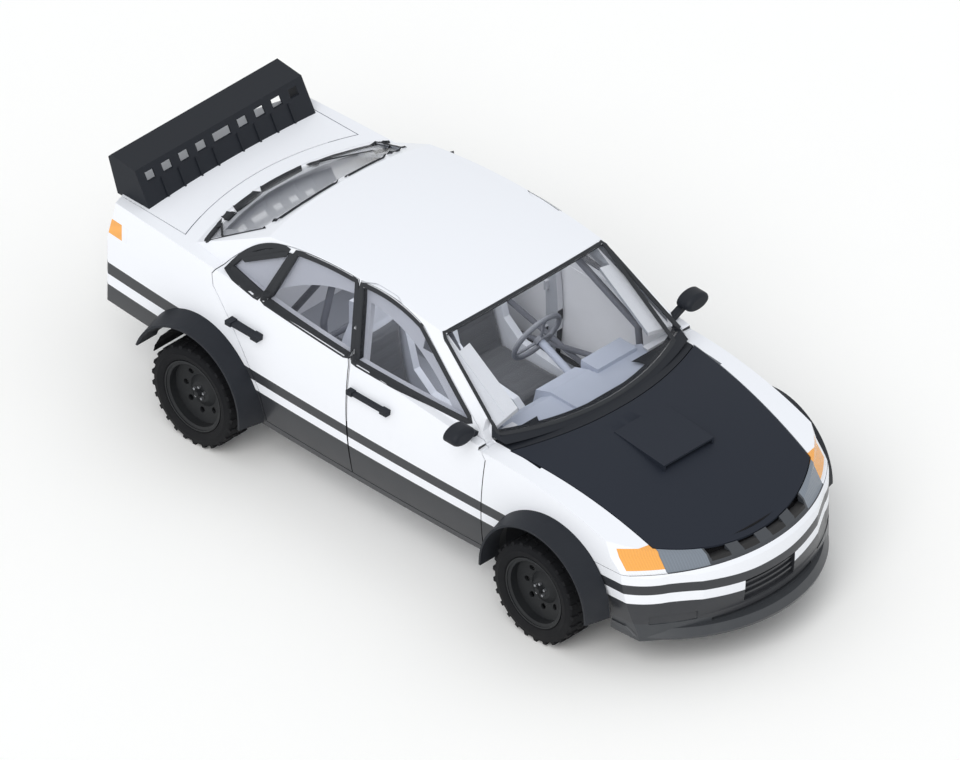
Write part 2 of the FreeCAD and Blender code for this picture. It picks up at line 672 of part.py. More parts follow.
def make_floor(cavity, ring):
    """Floor with its tunnel, heel board and raised boot floor."""
    thick = size("floor_thickness")
    rear = REAR_AXLE - 880
    path = [
        (BULKHEAD + 20, FLOOR_LOW), (BULKHEAD + 20, FLOOR_TOP), (HEEL_BOARD + 6, FLOOR_TOP),
        (HEEL_BOARD - 40, BOOT_FLOOR + thick), (rear, BOOT_FLOOR + thick), (rear, BOOT_FLOOR),
        (HEEL_BOARD - 58, BOOT_FLOOR), (HEEL_BOARD - 14, FLOOR_LOW)]
    floor = prism(across, path, -800, 800)
    half = size("tunnel_width") / 2
    top = FLOOR_TOP + size("tunnel_height") - thick - 6
    tunnel = prism(upright, [
        (-half, FLOOR_LOW), (-half + 34, top), (half - 34, top), (half, FLOOR_LOW)], HEEL_BOARD - 40, BULKHEAD)
    bore = prism(upright, [
        (-half + thick, 0), (-half + thick, FLOOR_LOW), (-half + thick + 30, top - thick),
        (half - thick - 30, top - thick), (half - thick, FLOOR_LOW), (half - thick, 0)],
        HEEL_BOARD - 60, BULKHEAD + 20)
    floor = floor.fuse(tunnel).cut(bore)
    floor = floor.common(cavity).cut(ring)
    for x in (FRONT_AXLE + ARCH_SHIFT, REAR_AXLE):
        for hand in (1, -1):
            floor = floor.cut(Part.makeCylinder(
                size("arch_radius") + 34.3, 700, V(x, hand * 479.7, ARCH_HEIGHT), V(0, hand, 0)))
    add("floor_pan", one_solid(floor))
    return floor


def make_cage():
    """Main hoop, roof and pillar bars, door crosses and rear stays."""
    radius = size("cage_tube") / 2
    foot = FLOOR_TOP
    hoop = cabin(-600)
    left = [
        V(hoop, 590, foot), V(hoop, 600, BELT - 10), V(hoop, 490, ROOF - 135),
        V(hoop, 420, ROOF - 104), V(hoop, 0, ROOF - 100)]
    front = [
        V(hoop, 490, ROOF - 135), V(cabin(190), 480, ROOF - 140),
        V(cabin(640), 575, BELT - 10), V(cabin(700), 590, foot)]
    stay = [V(hoop, 470, ROOF - 130), V(REAR_AXLE + 95, 400, BOOT_FLOOR + 20)]
    half = tube_path(left, radius).fuse(tube_path(front, radius)).fuse(tube_path(stay, radius))
    cage = half.fuse(mirrored(half))
    slim = radius * 0.8
    for hand in (1, -1):
        low = tube(V(hoop, hand * 592, foot + 130), V(cabin(676), hand * 586, foot + 440), slim)
        high = tube(V(hoop, hand * 596, foot + 440), V(cabin(692), hand * 588, foot + 130), slim)
        cage = cage.fuse(low).fuse(high)
    cage = cage.fuse(tube(V(hoop, 490, ROOF - 135), V(hoop, -588, foot + 90), slim))
    cage = cage.fuse(tube(V(hoop, -598, BELT - 140), V(hoop, 598, BELT - 140), slim))
    cage = cage.fuse(tube(V(cabin(190), -480, ROOF - 140), V(cabin(190), 480, ROOF - 140), slim))
    cage = cage.cut(box(-FAR, FAR, -FAR, FAR, 0, foot)).cut(box(-FAR, REAR_AXLE + 200, -FAR, FAR, 0, BOOT_FLOOR + 18))
    add("roll_cage", one_solid(cage))


# ---------------------------------------------------------------- bodies made from sketches

def plane_of(body, role):
    return next(f for f in body.Origin.OriginFeatures if f.Role == role)


def new_body(label, place=None):
    body = doc.addObject("PartDesign::Body", label)
    body.Label = label
    if place is not None:
        body.Placement = place
    nodes.append(body)
    return body


def sketch_on(body, name, role, items, offset=0.0):
    """A closed sketch on one of the body's own origin planes."""
    sketch = body.newObject("Sketcher::SketchObject", name)
    sketch.AttachmentSupport = (plane_of(body, role), [""])
    sketch.MapMode = "FlatFace"
    sketch.AttachmentOffset = FreeCAD.Placement(V(0, 0, offset), FreeCAD.Rotation())
    draw(sketch, items)
    return sketch


def draw(sketch, items):
    start = V(*items[0], 0)
    here = start
    for item in items[1:]:
        there = V(*item[-2:], 0)
        if len(item) == 4:
            sketch.addGeometry(Part.Arc(here, V(*item[:2], 0), there))
        else:
            sketch.addGeometry(Part.LineSegment(here, there))
        here = there
    if here.distanceToPoint(start) > 0.001:
        sketch.addGeometry(Part.LineSegment(here, start))


def circle_on(body, name, role, centre, radius, offset=0.0):
    sketch = body.newObject("Sketcher::SketchObject", name)
    sketch.AttachmentSupport = (plane_of(body, role), [""])
    sketch.MapMode = "FlatFace"
    sketch.AttachmentOffset = FreeCAD.Placement(V(0, 0, offset), FreeCAD.Rotation())
    sketch.addGeometry(Part.Circle(V(*centre, 0), V(0, 0, 1), radius))
    return sketch


def pad(body, name, sketch, length, symmetric=False, reverse=False):
    feature = body.newObject("PartDesign::Pad", name)
    feature.Profile = sketch
    feature.setExpression("Length", length)
    feature.SideType = "Symmetric" if symmetric else "One side"
    feature.Reversed = reverse
    doc.recompute()
    return feature


def turned(body, name, sketch):
    """The sketch on the YZ plane turned about the wheel's own axis."""
    feature = body.newObject("PartDesign::Revolution", name)
    feature.Profile = sketch
    feature.ReferenceAxis = (sketch, ["H_Axis"])
    feature.Angle = 360
    doc.recompute()
    return feature


def patterned(body, name, feature, count):
    pattern = body.newObject("PartDesign::PolarPattern", name)
    pattern.Originals = [feature]
    pattern.Axis = (plane_of(body, "Y_Axis"), [""])
    pattern.Angle = 360
    pattern.setExpression("Occurrences", count)
    body.Tip = pattern
    doc.recompute()
    return pattern


def faceted_ring(section, count):
    """A solid ring of flat facets: the section's heights are radii to the middle of a facet."""
    half_turn = math.pi / count
    rings = []
    for y, radius in section:
        corner = radius / math.cos(half_turn)
        turns = [(2 * i + 1) * half_turn for i in range(count)]
        rings.append([V(corner * math.sin(t), y, corner * math.cos(t)) for t in turns])
    faces = []
    for near, far in zip(rings, rings[1:] + rings[:1]):
        for i in range(count):
            faces.append(Part.Face(Part.makePolygon([near[i - 1], near[i], far[i], far[i - 1], near[i - 1]])))
    return outward(Part.Solid(Part.Shell(faces)))


def make_tyre():
    """Carcass of flat facets with an open bead, one shoulder lug on each side of every facet."""
    half = size("tyre_width") / 2
    crown = size("tyre_radius") - size("lug_height")
    lip = size("rim_radius")
    bead = lip - BEAD_DROP + size("seat_clearance")
    rim_half = size("rim_width") / 2
    count = int(size("lug_count"))
    right = [
        (rim_half - 19, bead), (rim_half - 8.5, lip + 2), (half, lip + 31), (half, crown - 31), (half - 14, crown)]
    inner = [(rim_half - 31, bead), (half - 18, crown - 37)]
    section = [(-y, r) for y, r in right] + right[::-1] + inner + [(-y, r) for y, r in inner[::-1]]
    tyre = faceted_ring(section, count)
    outer_lug = [(-18, 20), (-10, half - 15), (17, half - 15), (9, 20)]
    lugs = []
    for items in (outer_lug, [(-x, -y) for x, y in outer_lug]):
        lug = prism(flat, items, crown - 4, crown + size("lug_height"))
        lugs += [lug.rotated(V(0, 0, 0), V(0, 1, 0), 360 * i / count) for i in range(count)]
    item = doc.addObject("Part::Feature", "tyre_pattern")
    item.Shape = one_solid(tyre.fuse(lugs))
    return item


def make_rim():
    """Deep dished wheel: barrel with two lips, a sunken disc with round holes and a hub."""
    body = doc.addObject("PartDesign::Body", "rim_pattern")
    lip = size("rim_radius")
    half = size("rim_width") / 2
    hub = size("hub_radius")
    seat = lip - BEAD_DROP
    barrel = [
        (half, lip), (half, lip - 9), (half - 6, lip - 9), (half - 14, seat - 7), (DISC_FACE, seat - 7),
        (DISC_FACE - 6, seat - 30), (DISC_FACE - 22, hub + 34), (DISC_FACE, hub), (DISC_FACE + 4, hub - 16),
        (DISC_FACE + 4, 24), (DISC_FACE + 26, 20), (DISC_FACE + 26, 0), (HUB_BACK, 0), (HUB_BACK, hub - 10),
        (DISC_FACE - 34, hub + 34), (DISC_FACE - 18, seat - 30), (DISC_FACE - 16, seat - 7),
        (-half + 14, seat - 7), (-half + 6, lip - 9), (-half, lip - 9), (-half, lip),
        (-half + 8, lip), (-half + 16, seat), (half - 16, seat), (half - 8, lip)]
    turned(body, "Wheel", sketch_on(body, "WheelSection", "YZ_Plane", barrel))
    window = circle_on(body, "WindowOutline", "XZ_Plane", (0, hub + 62), 17)
    hole = body.newObject("PartDesign::Pocket", "Window")
    hole.Profile = window
    hole.Type = "ThroughAll"
    hole.SideType = "Symmetric"
    doc.recompute()
    patterned(body, "Windows", hole, "8")
    return body


def copy_of(master, label, place):
    """The same piece at another wheel."""
    item = doc.addObject("Part::Feature", label)
    item.Label = label
    item.Shape = master.Shape.copy()
    item.Placement = place
    nodes.append(item)


def make_wheels():
    tyre = make_tyre()
    rim = make_rim()
    for end, x in (("front", FRONT_AXLE), ("rear", REAR_AXLE)):
        for hand, side in (("left", 1), ("right", -1)):
            spin = FreeCAD.Rotation(V(0, 0, 1), 0 if side == 1 else 180)
            place = FreeCAD.Placement(V(x, side * WHEEL_Y, AXLE_HEIGHT), spin)
            copy_of(tyre, f"tyre_{end}_{hand}", place)
            copy_of(rim, f"rim_{end}_{hand}", place)


# ---------------------------------------------------------------- running gear

def cylinder(name, radius, height, base, axis=V(0, 0, 1)):
    item = doc.addObject("Part::Cylinder", name)
    item.setExpression("Radius", radius)
    item.setExpression("Height", height)
    item.Placement = FreeCAD.Placement(base, FreeCAD.Rotation(V(0, 0, 1), axis))
    return item


def block(name, length, width, height, base, turn=None):
    """A box centred across the car on its base point."""
    item = doc.addObject("Part::Box", name)
    item.setExpression("Length", length)
    item.setExpression("Width", width)
    item.setExpression("Height", height)
    doc.recompute()
    corner = base - V(item.Length.Value / 2, item.Width.Value / 2, 0)
    item.Placement = FreeCAD.Placement(corner, turn or FreeCAD.Rotation())
    return item


def joined(label, pieces):
    item = doc.addObject("Part::MultiFuse", label)
    item.Label = label
    item.Shapes = pieces
    nodes.append(item)
    return item


def kingpin(height):
    """Place on the left steering axis at this height."""
    return V(FRONT_AXLE, KINGPIN_Y - (height - AXLE_HEIGHT) * KINGPIN_LEAN, height)


def make_knuckles():
    """Upright, stub axle and strut, which steer together."""
    for hand, side in (("left", 1), ("right", -1)):
        flip = (lambda p: p) if side == 1 else (lambda p: V(p.x, -p.y, p.z))
        stub_start = V(FRONT_AXLE, KINGPIN_Y - 25, AXLE_HEIGHT)
        stub_end = WHEEL_Y + HUB_BACK - 0.3
        low = kingpin(AXLE_HEIGHT - 110)
        top = kingpin(STRUT_TOP)
        middle = kingpin(AXLE_HEIGHT + 110)
        pieces = [
            cylinder(f"stub_{hand}", "32", f"{stub_end - stub_start.y}", flip(stub_start), V(0, side, 0)),
            cylinder(f"upright_{hand}", "24", f"{(middle - low).Length}", flip(low), flip(middle - low)),
            cylinder(f"strut_{hand}", "19", f"{(top - middle).Length + 20}", flip(middle - (top - middle) * 0.08), flip(top - middle)),
        ]
        joined(f"knuckle_{hand}", pieces)


def make_subframe():
    """Front crossmember, longitudinal rails and lower arms."""
    member = block("crossmember", "160", "900", "120", V(FRONT_AXLE, 0, SILL - 40))
    pieces = [member]
    for hand, side in (("left", 1), ("right", -1)):
        rail_start = BULKHEAD + 20
        rail = block(f"rail_{hand}", f"{FRONT_AXLE + 740 - rail_start}", "60", "90",
                     V((rail_start + FRONT_AXLE + 740) / 2, side * 430, SILL + 80))
        pieces.append(rail)
        arm_end = kingpin(AXLE_HEIGHT - 120).y - 30.8
        arm = block(f"arm_{hand}", "90", f"{arm_end - 380}", "26", V(FRONT_AXLE, side * (arm_end + 380) / 2, AXLE_HEIGHT - 122))
        pieces.append(arm)
        link = block(f"link_{hand}", "60", "30", "70", V(FRONT_AXLE, side * 420, AXLE_HEIGHT - 120))
        pieces.append(link)
    joined("front_subframe", pieces)
    engine = doc.addObject("Part::Box", "engine_block")
    engine.Label = "engine_block"
    engine.Length = 400
    engine.Width = 640
    engine.Height = 430
    engine.Placement = FreeCAD.Placement(V(FRONT_AXLE - 120, -320, SILL + 80), FreeCAD.Rotation())
    nodes.append(engine)


def make_rear_axle():
    """Beam, trailing arms and dampers up to the boot floor."""
    reach = 2 * (WHEEL_Y + HUB_BACK - 0.3)
    beam = cylinder("beam", "34", f"{reach}", V(REAR_AXLE, -reach / 2, AXLE_HEIGHT), V(0, 1, 0))
    pieces = [beam]
    for hand, side in (("left", 1), ("right", -1)):
        pieces.append(block(f"trailing_arm_{hand}", f"{HEEL_BOARD - REAR_AXLE - 27}", "50", "60",
                            V((HEEL_BOARD + REAR_AXLE - 27) / 2, side * 420, AXLE_HEIGHT - 40)))
        pieces.append(cylinder(f"spring_{hand}", "38", f"{BOOT_FLOOR - AXLE_HEIGHT}", V(REAR_AXLE, side * 420, AXLE_HEIGHT)))
    joined("rear_axle", pieces)


def make_exhaust():
    """Pipe through the tunnel, silencer and tail pipe."""
    radius = 26
    height = FLOOR_LOW + 70
    over = AXLE_HEIGHT + 34 + radius + 30
    path = [
        V(BULKHEAD + 60, 0, height), V(HEEL_BOARD + 60, 0, height), V(REAR_AXLE + 120, 120, over),
        V(REAR_AXLE - 200, 240, over), V(REAR_AXLE - 330, PIPE_Y, height + 20), V(-HALF_LENGTH + 60, PIPE_Y, height + 20)]
    pipe = tube_path(path, radius)
    silencer = Part.makeCylinder(80, 330, V(REAR_AXLE - 740, PIPE_Y, height + 20), V(1, 0, 0))
    hanger = box(REAR_AXLE - 560, REAR_AXLE - 540, PIPE_Y - 8, PIPE_Y + 8, height + 20, BOOT_FLOOR)
    add("exhaust", one_solid(pipe.fuse(silencer).fuse(hanger)))


# ---------------------------------------------------------------- cabin

def make_dashboard():
    """Faceted dashboard with a raised centre block, carried by the bulkhead, and its column."""
    back = BULKHEAD - 0.2
    profile = [
        (back, BELT - 330), (back - 170, BELT - 330), (back - 300, BELT - 250), (back - 310, BELT - 130),
        (back - 230, BELT - 80), (back, BELT - 80)]
    dash = prism(across, profile, -540, 540)
    centre = prism(across, [
        (back, FLOOR_TOP + 200), (back - 330, FLOOR_TOP + 200), (back - 400, BELT - 300),
        (back - 350, BELT - 100), (back - 240, BELT - 62), (back, BELT - 62)], -150, 150)
    centre_of = wheel_centre()
    normal = wheel_normal()
    column = Part.makeCylinder(22, 700, centre_of - normal * 700, normal)
    bracket = box(back - 256, back - 208, centre_of.y - 30, centre_of.y + 30, BELT - 500, BELT - 260)
    column = column.cut(Part.makeCylinder(60, 60, centre_of - normal * 42, normal))
    pod = box(back - 330, back - 200, centre_of.y - 150, centre_of.y + 150, BELT - 190, BELT - 55)
    add("dashboard", one_solid(dash.fuse(centre).fuse(column).fuse(bracket).fuse(pod)))


def wheel_centre():
    return V(cabin(110), size("driver_offset") - 20, BELT - 220)


def wheel_normal():
    tilt = math.radians(size("column_tilt"))
    return V(-math.cos(tilt), 0, math.sin(tilt))


def make_steering_wheel():
    centre = wheel_centre()
    normal = wheel_normal()
    reach = size("steering_wheel_radius")
    grip = size("steering_grip")
    rim = Part.makeTorus(reach - grip, grip, centre, normal)
    hub = Part.makeCylinder(34, 30, centre - normal * 41.7, normal)
    shape = rim.fuse(hub)
    up = V(0, 1, 0).cross(normal)
    for angle in (90, 210, 330):
        turn = math.radians(angle)
        way = V(0, 1, 0) * math.cos(turn) + up * math.sin(turn)
        shape = shape.fuse(tube(centre - normal * 30, centre + way * (reach - grip), 9))
    add("steering_wheel", one_solid(shape))


def make_seats():
    """Bucket seats: open shells with bolsters, and a soft cushion in each."""
    shells = []
    cushions = []
    half = 212
    for side in (1, -1):
        y = side * size("driver_offset")
        profile = [
            (-470, FLOOR_TOP + 60), (160, FLOOR_TOP + 60), (170, FLOOR_TOP + 160), (120, FLOOR_TOP + 200),
            (-200, FLOOR_TOP + 230), (-330, FLOOR_TOP + 330), (-420, FLOOR_TOP + 640), (-400, FLOOR_TOP + 700),
            (-455, FLOOR_TOP + 860), (-520, FLOOR_TOP + 850), (-520, FLOOR_TOP + 640), (-480, FLOOR_TOP + 250)]
        shell = prism(across, line_up(profile, cabin), y - half, y + half)
        hollow_profile = [
            (190, FLOOR_TOP + 400), (190, FLOOR_TOP + 110), (-370, FLOOR_TOP + 100), (-430, FLOOR_TOP + 330),
            (-475, FLOOR_TOP + 640), (-470, FLOOR_TOP + 800), (-430, FLOOR_TOP + 880), (190, FLOOR_TOP + 880)]
        shell = shell.cut(prism(across, line_up(hollow_profile, cabin), y - half + 45, y + half - 45))
        shell = shell.cut(narrowing(y, half))
        feet = box(cabin(-400), cabin(120), y - 180, y - 150, FLOOR_TOP, FLOOR_TOP + 61)
        feet = feet.fuse(box(cabin(-400), cabin(120), y + 150, y + 180, FLOOR_TOP, FLOOR_TOP + 61))
        shells.append(one_solid(shell.fuse(feet)))
        clear = size("seat_clearance")
        seat = prism(across, line_up([
            (150, FLOOR_TOP + 110 + clear), (150, FLOOR_TOP + 170), (-330, FLOOR_TOP + 160),
            (-385, FLOOR_TOP + 340), (-425, FLOOR_TOP + 620), (-474, FLOOR_TOP + 620), (-429, FLOOR_TOP + 330),
            (-368, FLOOR_TOP + 100 + clear)], cabin), y - half + 45 + clear, y + half - 45 - clear)
        seat.translate(V(clear, 0, 0))
        cushions.append(one_solid(seat.cut(shells[-1])))
    add("seat_shells", Part.makeCompound(shells))
    add("seat_cushions", Part.makeCompound(cushions))


def narrowing(y, half):
    """Cuts the seat back's sides to a shouldered outline."""
    outline_half = [(half - 70, FLOOR_TOP + 900), (half - 70, FLOOR_TOP + 700), (half + 20, FLOOR_TOP + 560),
                    (half + 20, FLOOR_TOP + 900)]
    right = prism(upright, [(y + v, z) for v, z in outline_half], -FAR, FAR)
    left = prism(upright, [(y - v, z) for v, z in outline_half], -FAR, FAR)
    return right.fuse(left)


# ---------------------------------------------------------------- outside trim

def make_trims(outer):
    """Door handles with thicker ends, and the mirrors on the front doors."""
    for place, start, end in (("front", -162, 146), ("rear", -1092, -846)):
        height = BELT - 128
        bar = box(cabin(start), cabin(end), 700, HALF_WIDTH + 20, height - 9, height + 9)
        ends = box(cabin(start), cabin(start) + 42, 700, HALF_WIDTH + 26, height - 14, height + 14)
        ends = ends.fuse(box(cabin(end) - 52, cabin(end), 700, HALF_WIDTH + 26, height - 16, height + 16))
        handle = one_solid(bar.fuse(ends).cut(outer))
        pieces = [handle]
        if place == "front":
            pieces.append(one_solid(make_mirror().cut(outer)))
        for hand in ("left", "right"):
            shapes = pieces if hand == "left" else [mirrored(p) for p in pieces]
            add(f"trim_{place}_{hand}", Part.makeCompound(shapes))


def make_mirror():
    """Oval housing, flat behind and rounded in front, on a short arm."""
    x = cabin(742)
    oval = Part.Ellipse(V(0, 0, 0), 84, 52).toShape()
    housing = Part.Face(Part.Wire([oval])).extrude(V(0, 0, 92))
    housing = housing.makeFillet(26, [e for e in housing.Edges if e.BoundBox.ZMin > 90])
    housing = housing.rotated(V(0, 0, 0), V(0, 0, 1), 90).rotated(V(0, 0, 0), V(0, 1, 0), 90)
    housing.translate(V(x - 45, 898, BELT + 54))
    arm = prism(upright, [(700, BELT - 60), (700, BELT - 25), (850, BELT + 40), (850, BELT + 8)], x - 50, x - 10)
    return housing.fuse(arm)


def make_rear_wing(lid):
    """Tall box wing: leaning end plates, a bent top plate and a sloping front panel with windows."""
    half = size("wing_half_width")
    plate = size("wing_plate")
    top = size("wing_height")
    deck = BELT + 90
    front = REAR_AXLE - 585
    rear = REAR_AXLE - 835
    edge = REAR_AXLE - 908
    slope = 112 / (top - 32 - deck)

    def face(z):
        return front - (z - deck) * slope

    side = [(front, deck), (face(top - 20), top - 20), (edge + 20, top), (edge, top - 22), (rear, deck)]
    end = prism(across, side, half - plate, half)
    upper = prism(across, [(face(top - 38), top - 38), (face(top - 20), top - 20), (edge + 20, top), (edge, top - 22),
                           (edge + 12, top - 44), (face(top - 38) - 6, top - 56)], -half, half)
    panel = prism(across, [(front, deck), (face(top - 30), top - 30), (face(top - 30) - 12, top - 30),
                           (front - 12, deck)], -half, half)
    low = top - WING_WINDOW
    pitch = size("strake_pitch")
    pillars = [STRAKE_START + i * pitch for i in range(int(size("strake_count")) // 2)]
    windows = [box(-FAR, 0, 30 - STRAKE_START, STRAKE_START - 30, low, low + 47)]
    for start, end_y in zip(pillars, pillars[1:] + [half - 28]):
        windows.append(both(box(-FAR, 0, start + 31, end_y - 31, low, low + 47)))
    wing = both(end).fuse(upper).fuse(panel.cut(windows))
    for y in pillars:
        strake = prism(across, [(face(deck + 24) + 9, deck + 24), (face(low - 10) + 9, low - 10),
                                (face(low - 10) - 6, low - 10), (face(deck + 24) - 6, deck + 24)], y - 5, y + 5)
        wing = wing.fuse(both(strake))
    add("rear_wing", one_solid(wing.cut(lid)))


def main():
    outer = whole_body()
    door_inner = hollow(size("door_wall"), 40, -10)
    body_inner = hollow(size("door_wall") + GAP, 46, 0)
    frame_inner = hollow(size("door_wall") + GAP + 40, 76, 20)
    glass_outer = greenhouse(size("glass_depth"), size("glass_depth"), size("glass_depth"), BELT - 30)
    deeper = size("glass_depth") + size("glass_thickness")
    glass_inner = greenhouse(deeper, deeper, deeper, BELT - 30)
    glass_skin = glass_outer.cut(glass_inner)
    arches = arch_cut(20)
    door_skin = outer.cut(door_inner).cut(arches)
    shell = outer.cut(body_inner).cut(arches)
    make_doors(door_skin, glass_skin)
    ring = make_body(shell, door_inner, body_inner, frame_inner, glass_skin, arches)
    make_flares(outer)
    floor = make_floor(body_inner, ring)
    bulkhead = next(n for n in nodes if n.Label == "bulkhead").Shape
    make_inner_arches(body_inner, ring, [bulkhead, floor])
    make_cage()
    make_wheels()
    make_knuckles()
    make_subframe()
    make_rear_axle()
    make_exhaust()
    make_dashboard()
    make_steering_wheel()
    make_seats()
    make_trims(outer)
    make_rear_wing(outer)
    doc.recompute()


def export():
    """Writes the sub-parts once every object of the document is sound."""
    for item in doc.Objects:
        if {"Invalid", "Error"} & set(item.State):
            raise RuntimeError(f"{item.Label} failed to recompute")
    for item in nodes:
        if item.Shape.isNull() or not item.Shape.isValid():
            raise RuntimeError(f"{item.Label} has no valid shape")
    os.makedirs("parts", exist_ok=True)
    for item in nodes:
        item.Shape.exportStep(f"parts/{item.Label}.step")


main()
export()
print(f"{len(nodes)} sub-parts written")
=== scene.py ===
import bmesh
import bpy
import math
from mathutils import Matrix, Vector
from mathutils.bvhtree import BVHTree
from mathutils.kdtree import KDTree


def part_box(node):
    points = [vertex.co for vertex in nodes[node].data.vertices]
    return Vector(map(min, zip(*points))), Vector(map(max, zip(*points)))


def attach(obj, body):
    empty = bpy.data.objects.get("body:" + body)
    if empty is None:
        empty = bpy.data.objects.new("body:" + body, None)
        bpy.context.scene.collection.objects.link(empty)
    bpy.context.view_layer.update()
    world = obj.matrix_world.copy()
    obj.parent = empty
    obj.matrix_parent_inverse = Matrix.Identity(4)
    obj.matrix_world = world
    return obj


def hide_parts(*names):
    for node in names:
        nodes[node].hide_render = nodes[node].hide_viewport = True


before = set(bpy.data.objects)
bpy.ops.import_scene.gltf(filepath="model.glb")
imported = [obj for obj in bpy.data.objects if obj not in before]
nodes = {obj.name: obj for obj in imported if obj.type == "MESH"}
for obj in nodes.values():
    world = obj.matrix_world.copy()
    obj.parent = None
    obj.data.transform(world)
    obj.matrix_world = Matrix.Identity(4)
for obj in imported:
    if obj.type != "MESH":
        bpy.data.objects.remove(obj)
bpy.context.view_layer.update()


# small helpers for node materials
def makeMaterial(name, color, roughness, metallic=0.0):
    material = bpy.data.materials.new(name)
    material.use_nodes = True
    shader = material.node_tree.nodes["Principled BSDF"]
    shader.inputs["Base Color"].default_value = (*color, 1)
    shader.inputs["Roughness"].default_value = roughness
    shader.inputs["Metallic"].default_value = metallic
    return material, material.node_tree, shader


def addNode(tree, kind, **values):
    node = tree.nodes.new(kind)
    for key, value in values.items():
        setattr(node, key, value)
    return node


def placeOf(tree):
    return addNode(tree, "ShaderNodeTexCoord").outputs["Object"]


def useGroup(tree, group, **values):
    node = addNode(tree, "ShaderNodeGroup", node_tree=group)
    for key, value in values.items():
        socket = node.inputs[key]
        if isinstance(value, bpy.types.NodeSocket):
            tree.links.new(value, socket)
        else:
            socket.default_value = value
    return node


def mixColors(tree, factor, first, second):
    node = addNode(tree, "ShaderNodeMix", data_type="RGBA")
    for number, value in ((0, factor), (6, first), (7, second)):
        socket = node.inputs[number]
        if isinstance(value, bpy.types.NodeSocket):
            tree.links.new(value, socket)
        elif isinstance(value, tuple):
            socket.default_value = (*value, 1)
        else:
            socket.default_value = value
    return node.outputs[2]


def mathNode(tree, operation, first, second=0.0):
    node = addNode(tree, "ShaderNodeMath", operation=operation)
    for socket, value in zip(node.inputs, (first, second)):
        if isinstance(value, bpy.types.NodeSocket):
            tree.links.new(value, socket)
        else:
            socket.default_value = value
    return node.outputs[0]


def newGroup(name, inputs, outputs):
    group = bpy.data.node_groups.new(name, "ShaderNodeTree")
    for label, kind, value in inputs:
        socket = group.interface.new_socket(label, in_out="INPUT", socket_type=kind)
        if value is not None:
            socket.default_value = value
    for label, kind in outputs:
        group.interface.new_socket(label, in_out="OUTPUT", socket_type=kind)
    return group, group.nodes.new("NodeGroupInput"), group.nodes.new("NodeGroupOutput")


# node groups that several materials share
def makeGrainGroup():
    group, entry, exit = newGroup(
        "fineGrain",
        [("Place", "NodeSocketVector", None), ("Scale", "NodeSocketFloat", 400.0),
         ("Middle", "NodeSocketFloat", 0.5), ("Spread", "NodeSocketFloat", 0.1)],
        [("Roughness", "NodeSocketFloat"), ("Height", "NodeSocketFloat")])
    noise = addNode(group, "ShaderNodeTexNoise")
    noise.inputs["Detail"].default_value = 3
    group.links.new(entry.outputs["Place"], noise.inputs["Vector"])
    group.links.new(entry.outputs["Scale"], noise.inputs["Scale"])
    centred = mathNode(group, "SUBTRACT", noise.outputs["Fac"], 0.5)
    spread = mathNode(group, "MULTIPLY", centred, entry.outputs["Spread"])
    rough = mathNode(group, "ADD", spread, entry.outputs["Middle"])
    group.links.new(rough, exit.inputs["Roughness"])
    group.links.new(noise.outputs["Fac"], exit.inputs["Height"])
    return group


def makeBandGroup():
    group, entry, exit = newGroup(
        "heightBand",
        [("Place", "NodeSocketVector", None), ("Low", "NodeSocketFloat", 0.0),
         ("High", "NodeSocketFloat", 1.0)],
        [("Mask", "NodeSocketFloat")])
    split = addNode(group, "ShaderNodeSeparateXYZ")
    group.links.new(entry.outputs["Place"], split.inputs[0])
    above = mathNode(group, "GREATER_THAN", split.outputs["Z"], entry.outputs["Low"])
    below = mathNode(group, "LESS_THAN", split.outputs["Z"], entry.outputs["High"])
    group.links.new(mathNode(group, "MULTIPLY", above, below), exit.inputs["Mask"])
    return group


def makeDustGroup():
    group, entry, exit = newGroup(
        "roadDust",
        [("Place", "NodeSocketVector", None), ("Top", "NodeSocketFloat", 0.5),
         ("Amount", "NodeSocketFloat", 0.2)],
        [("Mask", "NodeSocketFloat")])
    split = addNode(group, "ShaderNodeSeparateXYZ")
    noise = addNode(group, "ShaderNodeTexNoise")
    noise.inputs["Scale"].default_value = 9
    noise.inputs["Detail"].default_value = 6
    group.links.new(entry.outputs["Place"], split.inputs[0])
    group.links.new(entry.outputs["Place"], noise.inputs["Vector"])
    share = mathNode(group, "DIVIDE", split.outputs["Z"], entry.outputs["Top"])
    near = addNode(group, "ShaderNodeMath", operation="SUBTRACT", use_clamp=True)
    near.inputs[0].default_value = 1
    group.links.new(share, near.inputs[1])
    spots = mathNode(group, "MULTIPLY", near.outputs[0], noise.outputs["Fac"])
    group.links.new(mathNode(group, "MULTIPLY", spots, entry.outputs["Amount"]), exit.inputs["Mask"])
    return group


# marks the faces that look towards the car's middle or downwards; the paint can give them another tone, on
# the body panels a darker one: painted shade inside the cabin and under the panels
def makeInsideGroup():
    group, entry, exit = newGroup(
        "insideShadeFaces",
        [("Place", "NodeSocketVector", None), ("Facing", "NodeSocketVector", None)],
        [("Mask", "NodeSocketFloat")])
    place = addNode(group, "ShaderNodeSeparateXYZ")
    facing = addNode(group, "ShaderNodeSeparateXYZ")
    group.links.new(entry.outputs["Place"], place.inputs[0])
    group.links.new(entry.outputs["Facing"], facing.inputs[0])
    inward = mathNode(group, "MULTIPLY", place.outputs["Y"], facing.outputs["Y"])
    inward = mathNode(group, "LESS_THAN", inward, insideSizes["inward"])
    under = mathNode(group, "LESS_THAN", facing.outputs["Z"], insideSizes["under"])
    group.links.new(mathNode(group, "MAXIMUM", inward, under), exit.inputs["Mask"])
    return group


insideSizes = {"inward": -0.12, "under": -0.45}
grain = makeGrainGroup()
band = makeBandGroup()
dust = makeDustGroup()
insideShadeFaces = makeInsideGroup()

